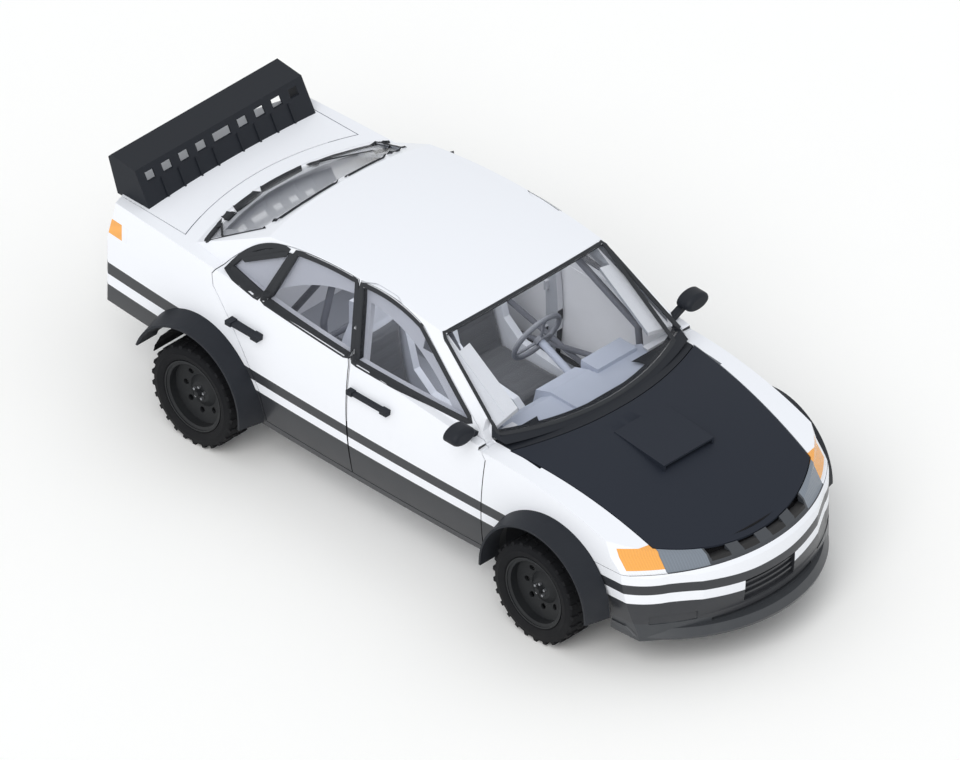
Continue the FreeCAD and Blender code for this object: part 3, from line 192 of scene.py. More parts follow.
finish = {
    "white": (0.86, 0.87, 0.905),
    "stripe": (0.036, 0.038, 0.043),
    "lower": (0.03, 0.032, 0.037),
    "chin": (0.04, 0.044, 0.05),
    # tone of the body's inward- and downward-facing faces: partly the cabin's grey paint, partly painted
    # shade
    "cabinGreyAndShade": (0.45, 0.47, 0.51),
    "dark": (0.02, 0.021, 0.024),
    "inner": (0.86, 0.87, 0.9),
    "dustColor": (0.42, 0.4, 0.37),
}


def addSurface(tree, shader, scale, middle, spread, bumpStrength, distance):
    place = placeOf(tree)
    node = useGroup(tree, grain, Place=place, Scale=scale, Middle=middle, Spread=spread)
    tree.links.new(node.outputs["Roughness"], shader.inputs["Roughness"])
    bump = addNode(tree, "ShaderNodeBump")
    bump.inputs["Strength"].default_value = bumpStrength
    bump.inputs["Distance"].default_value = distance
    tree.links.new(node.outputs["Height"], bump.inputs["Height"])
    tree.links.new(bump.outputs["Normal"], shader.inputs["Normal"])
    return place


def addDust(tree, shader, color, place, top, amount):
    layer = useGroup(tree, dust, Place=place, Top=top, Amount=amount)
    dusty = mixColors(tree, layer.outputs["Mask"], color, finish["dustColor"])
    tree.links.new(dusty, shader.inputs["Base Color"])


# openHalf: where the open band starts at each side; bands below riseBelow rise from riseStart to riseEnd
paintSizes = {"openHalf": 0.19, "riseBelow": 0.65, "riseStart": 0.08, "riseEnd": 0.6, "seamFacing": 0.8,
              "dustTop": 0.55, "dustAmount": 0.1}


# sprayed paint with bands by height, another tone on the inner and under side (on the body a darker grey,
# partly the cabin's paint and partly painted shade) and dark edges at the doors' seams (painted shade of the
# shut gaps)
def finishPaint(name, color, bands=(), roughness=0.3, inside=None, gloss=0.35, openBand=None, rise=0.0,
                gapShade=False):
    size = paintSizes
    material, tree, shader = makeMaterial(name, color, roughness)
    place = addSurface(tree, shader, 900, roughness, 0.06, 0.02, 0.0004)
    shader.inputs["Specular IOR Level"].default_value = gloss
    shader.inputs["Coat Weight"].default_value = 0.2 * gloss
    shader.inputs["Coat Roughness"].default_value = 0.12
    shade = color
    level = place
    if rise:
        split = addNode(tree, "ShaderNodeSeparateXYZ")
        tree.links.new(place, split.inputs[0])
        slope = addNode(tree, "ShaderNodeMapRange", interpolation_type="SMOOTHSTEP")
        tree.links.new(mathNode(tree, "ABSOLUTE", split.outputs["Y"]), slope.inputs["Value"])
        limits = {"From Min": size["riseStart"], "From Max": size["riseEnd"], "To Min": 0, "To Max": rise}
        for socket, number in limits.items():
            slope.inputs[socket].default_value = number
        lifted = addNode(tree, "ShaderNodeCombineXYZ")
        height = mathNode(tree, "SUBTRACT", split.outputs["Z"], slope.outputs["Result"])
        tree.links.new(height, lifted.inputs["Z"])
        level = lifted.outputs[0]
    for low, high, tone in bands:
        where = level if high < size["riseBelow"] else place
        mask = useGroup(tree, band, Place=where, Low=low, High=high).outputs["Mask"]
        if (low, high) == openBand:
            split = addNode(tree, "ShaderNodeSeparateXYZ")
            tree.links.new(place, split.inputs[0])
            across = mathNode(tree, "ABSOLUTE", split.outputs["Y"])
            outer = mathNode(tree, "GREATER_THAN", across, size["openHalf"])
            mask = mathNode(tree, "MULTIPLY", mask, outer)
        shade = mixColors(tree, mask, shade, finish[tone])
    # faces turned inward and faces turned downward take the given tone: painted shade on the body panels and
    # the rear bumper
    if inside:
        facing = addNode(tree, "ShaderNodeTexCoord").outputs["Normal"]
        mask = useGroup(tree, insideShadeFaces, Place=place, Facing=facing).outputs["Mask"]
        shade = mixColors(tree, mask, shade, finish[inside])
    # door edges that face along the car are painted dark: painted shade of the shut gaps
    if gapShade:
        facing = addNode(tree, "ShaderNodeSeparateXYZ")
        tree.links.new(addNode(tree, "ShaderNodeTexCoord").outputs["Normal"], facing.inputs[0])
        along = mathNode(tree, "ABSOLUTE", facing.outputs["X"])
        edge = mathNode(tree, "GREATER_THAN", along, size["seamFacing"])
        shade = mixColors(tree, edge, shade, finish["dark"])
    addDust(tree, shader, shade, place, size["dustTop"], size["dustAmount"])
    return material


def finishPlastic(name, color, roughness=0.55, dustTop=0.6, dustAmount=0.15):
    material, tree, shader = makeMaterial(name, color, roughness)
    place = addSurface(tree, shader, 1400, roughness, 0.12, 0.12, 0.0004)
    shader.inputs["Specular IOR Level"].default_value = 0.25
    addDust(tree, shader, color, place, dustTop, dustAmount)
    return material


def finishMetal(name, color, roughness, metallic=0.6):
    material, tree, shader = makeMaterial(name, color, roughness, metallic)
    place = addSurface(tree, shader, 260, roughness, 0.2, 0.08, 0.0006)
    addDust(tree, shader, color, place, 0.6, 0.2)
    return material


# openings: how far from the middle each pair starts and ends; low: their lower edge
grilleSizes = {"openings": ((0.048, 0.158), (0.242, 0.358)), "low": 0.668}


# satin plastic with its four openings painted black: painted shade of the holes behind them
def finishGrille(name, color, dark):
    material, tree, shader = makeMaterial(name, color, 0.45)
    place = placeOf(tree)
    split = addNode(tree, "ShaderNodeSeparateXYZ")
    tree.links.new(place, split.inputs[0])
    across = mathNode(tree, "ABSOLUTE", split.outputs["Y"])
    mask = None
    for low, high in grilleSizes["openings"]:
        inside = mathNode(tree, "LESS_THAN", across, high)
        inside = mathNode(tree, "MULTIPLY", inside, mathNode(tree, "GREATER_THAN", across, low))
        mask = inside if mask is None else mathNode(tree, "MAXIMUM", mask, inside)
    above = mathNode(tree, "GREATER_THAN", split.outputs["Z"], grilleSizes["low"])
    mask = mathNode(tree, "MULTIPLY", mask, above)
    tree.links.new(mixColors(tree, mask, color, dark), shader.inputs["Base Color"])
    node = useGroup(tree, grain, Place=place, Scale=40, Middle=0.5, Spread=0.15)
    tree.links.new(node.outputs["Roughness"], shader.inputs["Roughness"])
    return material


# thin glass: light passes straight through, tinted, under a faint reflection
def finishGlass(name, color, mirror):
    material, tree, shader = makeMaterial(name, color, 0.05)
    tree.nodes.remove(shader)
    place = placeOf(tree)
    node = useGroup(tree, grain, Place=place, Scale=2.5, Middle=0.04, Spread=0.03)
    clear = addNode(tree, "ShaderNodeBsdfTransparent")
    shiny = addNode(tree, "ShaderNodeBsdfGlossy")
    tree.links.new(node.outputs["Roughness"], shiny.inputs["Roughness"])
    smears = useGroup(tree, grain, Place=place, Scale=14, Middle=0.5, Spread=0.5).outputs["Roughness"]
    duller = tuple(0.96 * c for c in color)
    tree.links.new(mixColors(tree, smears, duller, color), clear.inputs["Color"])
    edge = addNode(tree, "ShaderNodeFresnel")
    edge.inputs["IOR"].default_value = 1.25
    share = mathNode(tree, "MULTIPLY", edge.outputs["Fac"], mirror)
    mix = addNode(tree, "ShaderNodeMixShader")
    tree.links.new(share, mix.inputs["Fac"])
    tree.links.new(clear.outputs[0], mix.inputs[1])
    tree.links.new(shiny.outputs[0], mix.inputs[2])
    tree.links.new(mix.outputs[0], tree.nodes["Material Output"].inputs["Surface"])
    return material


tailPaintLine = -2.768  # x less the distance from the middle, where the rear lenses' painted margin ends


# moulded lens: fine upright flutes under a clear gloss, its colour darkened in step with the flutes' wave:
# painted shade on the flutes
# painted: the (x, z) corner past which it has body paint
def finishLens(name, color, ribs, painted=None):
    material, tree, shader = makeMaterial(name, color, 0.16)
    place = placeOf(tree)
    split = addNode(tree, "ShaderNodeSeparateXYZ")
    tree.links.new(place, split.inputs[0])
    wave = mathNode(tree, "SINE", mathNode(tree, "MULTIPLY", split.outputs["Y"], ribs))
    bump = addNode(tree, "ShaderNodeBump")
    bump.inputs["Strength"].default_value = 0.35
    bump.inputs["Distance"].default_value = 0.002
    tree.links.new(wave, bump.inputs["Height"])
    tree.links.new(bump.outputs["Normal"], shader.inputs["Normal"])
    node = useGroup(tree, grain, Place=place, Scale=30, Middle=0.18, Spread=0.08)
    tree.links.new(node.outputs["Roughness"], shader.inputs["Roughness"])
    # the colour follows the flutes' wave: painted shade on the flutes
    share = mathNode(tree, "MULTIPLY_ADD", wave, 0.08)
    share.node.inputs[2].default_value = 0.12
    shade = mixColors(tree, share, color, tuple(0.5 * c for c in color))
    if painted:
        ahead = mathNode(tree, "GREATER_THAN", split.outputs["X"], painted[0])
        above = mathNode(tree, "GREATER_THAN", split.outputs["Z"], painted[1])
        front = mathNode(tree, "MULTIPLY", ahead, above)
        outward = mathNode(tree, "ABSOLUTE", split.outputs["Y"])
        corner = mathNode(tree, "SUBTRACT", split.outputs["X"], outward)
        tail = mathNode(tree, "LESS_THAN", corner, tailPaintLine)
        shade = mixColors(tree, mathNode(tree, "MAXIMUM", front, tail), finish["white"], shade)
    tree.links.new(shade, shader.inputs["Base Color"])
    shader.inputs["Coat Weight"].default_value = 0.3
    return material


# seat cloth of two crossing threads, a soft sheen, and the threads painted lighter where they rise: painted
# highlight, with painted shade between them
def finishCloth(name, color):
    material, tree, shader = makeMaterial(name, color, 0.92)
    place = placeOf(tree)
    height = None
    for axis in ("X", "Y"):
        wave = addNode(tree, "ShaderNodeTexWave", bands_direction=axis)
        wave.inputs["Scale"].default_value = 110
        wave.inputs["Distortion"].default_value = 0.6
        tree.links.new(place, wave.inputs["Vector"])
        thread = wave.outputs["Fac"]
        height = thread if height is None else mathNode(tree, "MULTIPLY", height, thread)
    bump = addNode(tree, "ShaderNodeBump")
    bump.inputs["Strength"].default_value = 0.5
    bump.inputs["Distance"].default_value = 0.001
    tree.links.new(height, bump.inputs["Height"])
    tree.links.new(bump.outputs["Normal"], shader.inputs["Normal"])
    # threads painted lighter where they rise: painted highlight and painted shade
    share = mathNode(tree, "MULTIPLY", height, 0.5)
    threadLightAndShade = mixColors(tree, share, color, tuple(1.5 * c for c in color))
    tree.links.new(threadLightAndShade, shader.inputs["Base Color"])
    node = useGroup(tree, grain, Place=place, Scale=60, Middle=0.9, Spread=0.1)
    tree.links.new(node.outputs["Roughness"], shader.inputs["Roughness"])
    shader.inputs["Sheen Weight"].default_value = 0.3
    return material


# painted bands: lower height, upper height, tone
sideBands = ((0.0, 0.52, "lower"), (0.58, 0.645, "stripe"))
rearBands = ((0.4, 0.605, "lower"), (0.675, 0.752, "stripe"))
frontGap = (0.434, 0.494)
frontBands = ((0.3, 0.554, "stripe"), (*frontGap, "white"), (0.3, 0.434, "lower"), (0.0, 0.3, "chin"),
              (0.6515, 0.66, "dark"))
materials = {
    "bodyWhite": finishPaint("bodyWhite", finish["white"], sideBands, inside="cabinGreyAndShade"),
    "doorWhite": finishPaint("doorWhite", finish["white"], sideBands, inside="inner", gapShade=True),
    "plainWhite": finishPaint("plainWhite", finish["white"], inside="cabinGreyAndShade"),
    "frontWhite": finishPaint("frontWhite", finish["white"], frontBands, openBand=frontGap, rise=0.035),
    # the rear bumper's inward- and downward-facing faces take the black lower tone: painted shade under and
    # inside it
    "rearWhite": finishPaint("rearWhite", finish["white"], rearBands, inside="lower"),
    "bonnetBlack": finishPaint("bonnetBlack", (0.02, 0.024, 0.034), roughness=0.5, gloss=0.12),
    "trimBlack": finishPlastic("trimBlack", (0.012, 0.0145, 0.02), dustAmount=0.1),
    "frameBlack": finishPlastic("frameBlack", (0.03, 0.032, 0.036), 0.7, dustAmount=0),
    "deepBlack": finishPlastic("deepBlack", (0.006, 0.006, 0.007), 0.9, dustAmount=0),
    "rubber": finishPlastic("tyreRubber", (0.005, 0.0055, 0.007), 0.9, dustAmount=0.03),
    "rimPaint": finishPlastic("rimPaint", (0.0105, 0.012, 0.014), 0.5, dustAmount=0.05),
    "steel": finishMetal("chassisSteel", (0.05, 0.052, 0.056), 0.5),
    "floorGrey": finishPlastic("floorGrey", (0.34, 0.355, 0.39), 0.6, dustAmount=0.2),
    "brightSteel": finishMetal("brightSteel", (0.32, 0.33, 0.35), 0.35, 0.8),
    "cage": finishPlastic("cagePaint", (0.17, 0.178, 0.205), 0.45, dustAmount=0),
    "dash": finishPlastic("dashPlastic", (0.52, 0.56, 0.66), 0.6, dustAmount=0),
    "grilleGrey": finishGrille("grilleGrey", (0.045, 0.05, 0.058), (0.004, 0.004, 0.005)),
    "wheelGrip": finishPlastic("wheelGrip", (0.24, 0.25, 0.28), 0.7, dustAmount=0),
    "seatShell": finishPaint("seatShell", (0.86, 0.89, 0.95), roughness=0.35),
    "seatCloth": finishCloth("seatCloth", (0.11, 0.115, 0.125)),
    "clearGlass": finishGlass("clearGlass", (0.965, 0.967, 0.972), 0.4),
    "tintedGlass": finishGlass("tintedGlass", (0.86, 0.865, 0.885), 0.6),
    "mirrorGlass": finishMetal("mirrorGlass", (0.75, 0.77, 0.8), 0.06, 1.0),
    "lampGlass": finishLens("lampGlass", (0.19, 0.22, 0.26), 420),
    "orangeLens": finishLens("orangeLens", (0.95, 0.42, 0.08), 520, (1.79, 0.672)),
    "redLens": finishLens("redLens", (0.42, 0.02, 0.02), 460),
}
print("materials made")

wearers = {
    "bodyWhite": ["body_side_left", "body_side_right", "front_wings"],
    "doorWhite": ["door_front_left", "door_front_right", "door_rear_left", "door_rear_right"],
    "plainWhite": ["roof_panel", "boot_lid", "parcel_shelf"],
    "frontWhite": ["front_bumper"],
    "rearWhite": ["rear_bumper"],
    "bonnetBlack": ["bonnet"],
    "trimBlack": ["wheel_arch_flares", "inner_arches", "rear_wing", "bulkhead",
                  "trim_front_left", "trim_front_right", "trim_rear_left", "trim_rear_right"],
    "grilleGrey": ["grille"],
    "rubber": ["tyre_front_left", "tyre_front_right", "tyre_rear_left", "tyre_rear_right"],
    "rimPaint": ["rim_front_left", "rim_front_right", "rim_rear_left", "rim_rear_right"],
    "floorGrey": ["floor_pan"],
    "steel": ["front_subframe", "rear_axle", "exhaust", "engine_block", "knuckle_left",
              "knuckle_right"],
    "cage": ["roll_cage"],
    "dash": ["dashboard"],
    "wheelGrip": ["steering_wheel"],
    "seatShell": ["seat_shells"],
    "seatCloth": ["seat_cushions"],
    "clearGlass": ["screens"],
    "tintedGlass": ["glass_front_left", "glass_front_right", "glass_rear_left", "glass_rear_right"],
    "lampGlass": ["head_lamps"],
    "orangeLens": ["indicators"],
    "redLens": ["tail_lamps"],
}


def dressFrame():
    for finishName, names in wearers.items():
        for name in names:
            data = nodes[name].data
            data.materials.clear()
            data.materials.append(materials[finishName])


dressFrame()
print("frame dressed")


# names a finished object, dresses it and lets it move with its body
def finishPiece(piece, name, finishName, body):
    piece.name = name
    piece.data.name = name
    piece.data.materials.clear()
    piece.data.materials.append(materials[finishName])
    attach(piece, body)
    return piece


def activate(piece):
    bpy.ops.object.select_all(action="DESELECT")
    piece.select_set(True)
    bpy.context.view_layer.objects.active = piece


def applyModifier(piece, kind, **values):
    activate(piece)
    modifier = piece.modifiers.new(kind.lower(), kind)
    for key, value in values.items():
        setattr(modifier, key, value)
    bpy.ops.object.modifier_apply(modifier=modifier.name)


# an object made from a merged copy of a CAD node
def pieceFrom(mesh, name):
    data = bpy.data.meshes.new(name)
    bmesh.ops.recalc_face_normals(mesh, faces=mesh.faces)
    mesh.to_mesh(data)
    mesh.free()
    piece = bpy.data.objects.new(name, data)
    bpy.context.collection.objects.link(piece)
    return piece


# smooth shading, with sharp edges left where faces meet steeply
def smoothSides(piece, angle=40):
    for face in piece.data.polygons:
        face.use_smooth = True
    piece.data.set_sharp_from_angle(angle=math.radians(angle))


# one point of a small plane is extruded along the list, and the line is left selected in edit mode
def drawLine(points, closed=False):
    bpy.ops.object.select_all(action="DESELECT")
    bpy.ops.mesh.primitive_plane_add(size=0.01)
    bpy.ops.object.mode_set(mode="EDIT")
    bpy.ops.mesh.select_all(action="SELECT")
    bpy.ops.mesh.merge(type="CENTER")
    bpy.ops.transform.translate(value=points[0])
    ahead = points[1:] + points[:1] if closed else points[1:]
    for near, far in zip(points, ahead):
        step = Vector(far) - Vector(near)
        bpy.ops.mesh.extrude_region_move(TRANSFORM_OT_translate={"value": step})
    bpy.ops.mesh.select_all(action="SELECT")
    bpy.ops.mesh.remove_doubles(threshold=0.00001)


# turns the drawn line about an axis and goes back to object mode; an open sweep can have its ends filled
def sweep(steps, degrees, centre, axis, filled=False):
    bpy.ops.mesh.spin(steps=steps, angle=math.radians(degrees), center=centre, axis=axis,
                      use_auto_merge=degrees == 360)
    bpy.ops.mesh.select_all(action="SELECT")
    bpy.ops.mesh.remove_doubles(threshold=0.00005)
    if filled:
        bpy.ops.mesh.fill_holes(sides=0)
    bpy.ops.mesh.normals_make_consistent(inside=False)
    bpy.ops.object.mode_set(mode="OBJECT")
    return bpy.context.object


# a section of (y, radius) pairs turned about the Y axis
def spunRing(section, steps, closed=True):
    drawLine([(0, y, radius) for y, radius in section], closed)
    return sweep(steps, 360, (0, 0, 0), (0, 1, 0))


def joinPieces(pieces):
    activate(pieces[0])
    for piece in pieces[1:]:
        piece.select_set(True)
    bpy.ops.object.join()
    return bpy.context.object


# lug: an outline of (x, y) pairs raised from radius low to high, tapered, and repeated round the Y axis
def lugRow(outline, low, high, turn, count, taper=0.9):
    middle = sum((Vector(point) for point in outline), Vector((0, 0))) / len(outline)
    drawLine([(x, y, low) for x, y in outline], closed=True)
    bpy.ops.mesh.edge_face_add()
    bpy.ops.mesh.extrude_region_move(TRANSFORM_OT_translate={"value": (0, 0, high - low)})
    bpy.ops.transform.resize(value=(taper, taper, 1), center_override=(*middle, high))
    bpy.ops.mesh.select_all(action="SELECT")
    bpy.ops.mesh.normals_make_consistent(inside=False)
    bpy.ops.object.mode_set(mode="OBJECT")
    lug = bpy.context.object
    lug.rotation_euler = (0, turn, 0)
    bpy.ops.object.transform_apply(rotation=True)
    bpy.ops.object.mode_set(mode="EDIT")
    bpy.ops.mesh.select_all(action="SELECT")
    bpy.ops.mesh.spin(steps=count - 1, dupli=True, angle=2 * math.pi * (count - 1) / count,
                      center=(0, 0, 0), axis=(0, 1, 0))
    bpy.ops.object.mode_set(mode="OBJECT")
    return lug


# section: half of the tyre's outside as (y, radius); lining: its inside; lugs as (x, y), count a row
tyreSizes = {
    "steps": 104, "lugTop": 0.3076, "lugs": 26,
    "section": [(0.066, 0.1955), (0.0765, 0.2155), (0.088, 0.222), (0.0915, 0.229), (0.097, 0.24),
                (0.0985, 0.252), (0.0996, 0.254), (0.0996, 0.26), (0.0975, 0.263), (0.095, 0.276),
                (0.091, 0.288), (0.083, 0.2955), (0.066, 0.2985)],
    "lining": [(-0.054, 0.1955), (-0.078, 0.24), (-0.074, 0.281)],
    "shoulderLug": [(-0.021, 0.05), (-0.014, 0.0905), (0.012, 0.0905), (0.009, 0.05)],
    "middleLug": [(-0.017, 0.004), (-0.009, 0.04), (0.014, 0.04), (0.008, 0.004)],
    "shoulderRoot": 0.286, "middleRoot": 0.292,
}


def makeTyre():
    size = tyreSizes
    outer = size["section"] + [(-y, r) for y, r in size["section"][::-1]]
    lining = size["lining"] + [(-y, r) for y, r in size["lining"][::-1]]
    pieces = [spunRing(outer + lining, size["steps"])]
    step = 2 * math.pi / size["lugs"]
    for side, share in ((1, 0.25), (-1, 0.75)):
        for kind in ("shoulder", "middle"):
            outline = [(side * x, side * y) for x, y in size[kind + "Lug"]]
            pieces.append(lugRow(outline, size[kind + "Root"], size["lugTop"], share * step, size["lugs"]))
    tyre = joinPieces(pieces)
    smoothSides(tyre, 28)
    return tyre


def wheelCentre(end, hand):
    low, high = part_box(f"rim_{end}_{hand}")
    return (Vector(low) + Vector(high)) / 2


def eachWheel():
    for end in ("front", "rear"):
        for hand in ("left", "right"):
            turn = Matrix.Rotation(0 if hand == "left" else math.pi, 4, "Z")
            yield end, hand, Matrix.Translation(wheelCentre(end, hand)) @ turn


# a copy, with its own mesh, of a piece modelled at the origin
def wheelCopy(model, place):
    piece = model.copy()
    piece.data = model.data.copy()
    bpy.context.collection.objects.link(piece)
    piece.data.transform(place)
    return piece


def makeTyres():
    tyre = makeTyre()
    for end, hand, place in eachWheel():
        piece = wheelCopy(tyre, place)
        finishPiece(piece, f"lugTyre_{end}_{hand}", "rubber", f"wheel_{end}_{hand}")
        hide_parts(f"tyre_{end}_{hand}")
    bpy.data.objects.remove(tyre)


# sections as (y, radius) pairs, y outwards along the axle
hubSizes = {
    "nuts": 5, "nutCircle": 0.036, "nutPlace": 0.0325, "nutDepth": 0.014, "nutRadii": (0.0082, 0.0095),
    "cap": [(0.0475, 0.0), (0.0475, 0.014), (0.046, 0.018), (0.055, 0.0165), (0.058, 0.012), (0.0585, 0.0)],
    "capSteps": 32,
    "disc": [(-0.0145, 0.036), (-0.0145, 0.064), (-0.022, 0.07), (-0.022, 0.146), (-0.028, 0.146),
             (-0.028, 0.125), (-0.034, 0.125), (-0.034, 0.146), (-0.04, 0.146), (-0.04, 0.075),
             (-0.034, 0.068), (-0.02, 0.058), (-0.02, 0.036)],
    "discSteps": 64,
}


def makeNuts():
    size = hubSizes
    small, large = size["nutRadii"]
    nuts = []
    for i in range(size["nuts"]):
        turn = 2 * math.pi * i / size["nuts"]
        place = (size["nutCircle"] * math.sin(turn), size["nutPlace"], size["nutCircle"] * math.cos(turn))
        bpy.ops.mesh.primitive_cone_add(vertices=6, radius1=small, radius2=large, depth=size["nutDepth"],
                                        location=place, rotation=(math.radians(90), 0, 0))
        nuts.append(bpy.context.object)
    piece = joinPieces(nuts)
    bpy.ops.object.transform_apply(location=True, rotation=True, scale=True)
    return piece


# nuts, hub cap and a vented brake disc on each wheel
def makeWheelParts():
    nuts = makeNuts()
    cap = spunRing(hubSizes["cap"], hubSizes["capSteps"], closed=False)
    smoothSides(cap)
    disc = spunRing(hubSizes["disc"], hubSizes["discSteps"])
    smoothSides(disc)
    models = ((nuts, "wheelNuts", "brightSteel"), (cap, "hubCap", "rimPaint"),
              (disc, "brakeDisc", "brightSteel"))
    for end, hand, place in eachWheel():
        for model, name, finishName in models:
            piece = wheelCopy(model, place)
            finishPiece(piece, f"{name}_{end}_{hand}", finishName, f"wheel_{end}_{hand}")
    for model, name, finishName in models:
        bpy.data.objects.remove(model)


# cabinHeart: a point in the cabin that tells a pane's outer side; shares: where across its width a strip
# meets the skin; topFacing and rearFacing: how steep an edge is that the skin may overhang
stripSizes = {"cabinHeart": (-0.27, 0, 0.9), "shares": (0.04, 0.35, 0.7, 1.0), "tuck": 0.005,
              "rise": 0.0024, "endRise": 0.001, "innerRise": 0.001, "thickness": 0.002,
              "scanStep": 0.004, "scanSteps": 14, "scanFrom": 0.05, "scanReach": 0.06,
              "topFacing": 0.25, "rearFacing": -0.2, "rayFrom": 0.08, "rayReach": 0.1, "firstHeight": 0.006}
# widths; rearLow: below this height the rear screen has its wide lower strip
sealSizes = {"door": 0.028, "windscreen": 0.019, "rearUpper": 0.005, "rearLower": 0.032,
             "rearLow": 1.16, "rearReach": 0.62}


# the edges of each pane of a glass node, as ordered points
def glassLoops(node):
    mesh = bmesh.new()
    mesh.from_mesh(nodes[node].data)
    bmesh.ops.remove_doubles(mesh, verts=mesh.verts, dist=0.00002)
    sharp = [e for e in mesh.edges if len(e.link_faces) == 2 and e.calc_face_angle(0) > math.radians(45)]
    links = {}
    for edge in sharp:
        for vert in edge.verts:
            links.setdefault(vert.index, []).append(edge.other_vert(vert).index)
    mesh.verts.ensure_lookup_table()
    loops = []
    seen = set()
    for start in links:
        if start in seen:
            continue
        loop = [start]
        seen.add(start)
        while True:
            ahead = [i for i in links[loop[-1]] if i not in seen]
            if not ahead:
                break
            loop.append(ahead[0])
            seen.add(ahead[0])
        loops.append([mesh.verts[i].co.copy() for i in loop])
    mesh.free()
    return [loop for loop in loops if len(loop) > 3]


# of the two edges of each pane, the one further from the cabin's middle
def outerLoops(node):
    heart = Vector(stripSizes["cabinHeart"])
    loops = glassLoops(node)
    chosen = []
    while loops:
        first = loops.pop(0)
        middle = sum(first, Vector()) / len(first)
        twins = [other for other in loops if (sum(other, Vector()) / len(other) - middle).length < 0.05]
        for other in twins:
            loops.remove(other)
        away = (middle - heart).normalized()
        pair = [first] + twins
        chosen.append(max(pair, key=lambda loop: sum(p.dot(away) for p in loop) / len(loop)))
    return chosen


# search tree of the outer skins that a strip lies on
def skinTree(names):
    mesh = bmesh.new()
    for name in names:
        mesh.from_mesh(nodes[name].data)
    tree = BVHTree.FromBMesh(mesh)
    mesh.free()
    return tree


# the same closed line with its points about gap apart
def evenLoop(points, gap=0.016):
    kept = [points[0]]
    for point in points[1:]:
        if (point - kept[-1]).length > 0.6 * gap and (point - points[0]).length > 0.6 * gap:
            kept.append(point)
    even = []
    for i, point in enumerate(kept):
        ahead = kept[(i + 1) % len(kept)]
        parts = max(1, round((ahead - point).length / gap))
        even += [point.lerp(ahead, j / parts) for j in range(parts)]
    return even


# the outward direction that a pane faces, from its whole outline
def paneNormal(loop):
    middle = sum(loop, Vector()) / len(loop)
    normal = Vector()
    for i, point in enumerate(loop):
        normal += (loop[i - 1] - middle).cross(point - middle)
    normal.normalize()
    return -normal if normal.dot(middle - Vector(stripSizes["cabinHeart"])) < 0 else normal


# the first closed line is drawn, then extruded to each next line, point by point
def extrudedLines(lines):
    drawLine(lines[0], closed=True)
    piece = bpy.context.object
    here = lines[0]
    for ahead in lines:
        if ahead is not here:
            bpy.ops.mesh.extrude_region_move()
        bpy.ops.object.mode_set(mode="OBJECT")
        tree = KDTree(len(here))
        for i, point in enumerate(here):
            tree.insert(point, i)
        tree.balance()
        for vert in piece.data.vertices:
            if vert.select:
                vert.co = ahead[tree.find(vert.co)[1]]
        bpy.ops.object.mode_set(mode="EDIT")
        here = ahead
    bpy.ops.mesh.select_all(action="SELECT")
    bpy.ops.mesh.normals_make_consistent(inside=False)
    bpy.ops.object.mode_set(mode="OBJECT")
    return piece


# the outward direction at each point of a loop, in the pane's own face
def loopOuts(loop, normal):
    middle = sum(loop, Vector()) / len(loop)
    outs = []
    for i, point in enumerate(loop):
        along = (loop[(i + 1) % len(loop)] - loop[i - 1]).normalized()
        out = along.cross(normal).normalized()
        outs.append(-out if out.dot(point - middle) < 0 else out)
    return outs


# where the skin's edge overhangs the pane, the strip starts at that edge: how far from the pane, evened out
def stripStarts(loop, outs, normal, tree, overhang):
    size = stripSizes
    starts = []
    for point, out in zip(loop, outs):
        start = 0.0
        steep = out.z > size["topFacing"] if normal.x > 0 else out.z < size["rearFacing"]
        for step in range(-overhang, 3) if overhang and steep else ():
            spot = point + out * size["scanStep"] * step
            if tree.ray_cast(spot + normal * size["scanFrom"], -normal, size["scanReach"])[0] is not None:
                start = size["scanStep"] * step
                break
        starts.append(start)
    count = len(loop)
    return [(starts[i - 1] + starts[i] + starts[(i + 1) % count]) / 3 for i in range(count)]


# a flat rubber strip laid on the skin round a pane's outer edge; its points come from rays onto the skin
def edgeStrip(loop, skins, widthAt, overhang=0):
    tree = skinTree(skins)
    normal = paneNormal(loop)
    outs = loopOuts(loop, normal)
    starts = stripStarts(loop, outs, normal, tree, overhang)
    size = stripSizes
    shares = size["shares"]
    count = len(loop)
    heights = []
    for point, out, start in zip(loop, outs, starts):
        last = size["firstHeight"]
        row = []
        for share in shares:
            spot = point + out * (start + widthAt(point) * share)
            found = tree.ray_cast(spot + normal * size["rayFrom"], -normal, size["rayReach"])[0]
            if found is not None:
                last = (found - spot).dot(normal)
            row.append(last)
        heights.append(row)
    lines = [[] for _ in range(len(shares) + 1)]
    for i, (point, out, start) in enumerate(zip(loop, outs, starts)):
        lines[0].append(point + out * (start - size["tuck"]) + normal * size["innerRise"])
        for j, share in enumerate(shares):
            rise = max(heights[(i + k) % count][j] for k in (-1, 0, 1))
            rise += size["rise"] if share < 1 else size["endRise"]
            lines[j + 1].append(point + out * (start + widthAt(point) * share) + normal * rise)
    piece = extrudedLines(lines)
    applyModifier(piece, "SOLIDIFY", thickness=size["thickness"], offset=0)
    smoothSides(piece, 50)
    return piece


# narrow along the roof; along the shelf wide, and wider towards the right
def rearWidth(point):
    reach = sealSizes["rearReach"]
    share = min(1.0, max(0.0, (reach - point.y) / (2 * reach)))
    wide = sealSizes["rearLower"] * (0.55 + 0.45 * share)
    return wide if point.z < sealSizes["rearLow"] else sealSizes["rearUpper"]


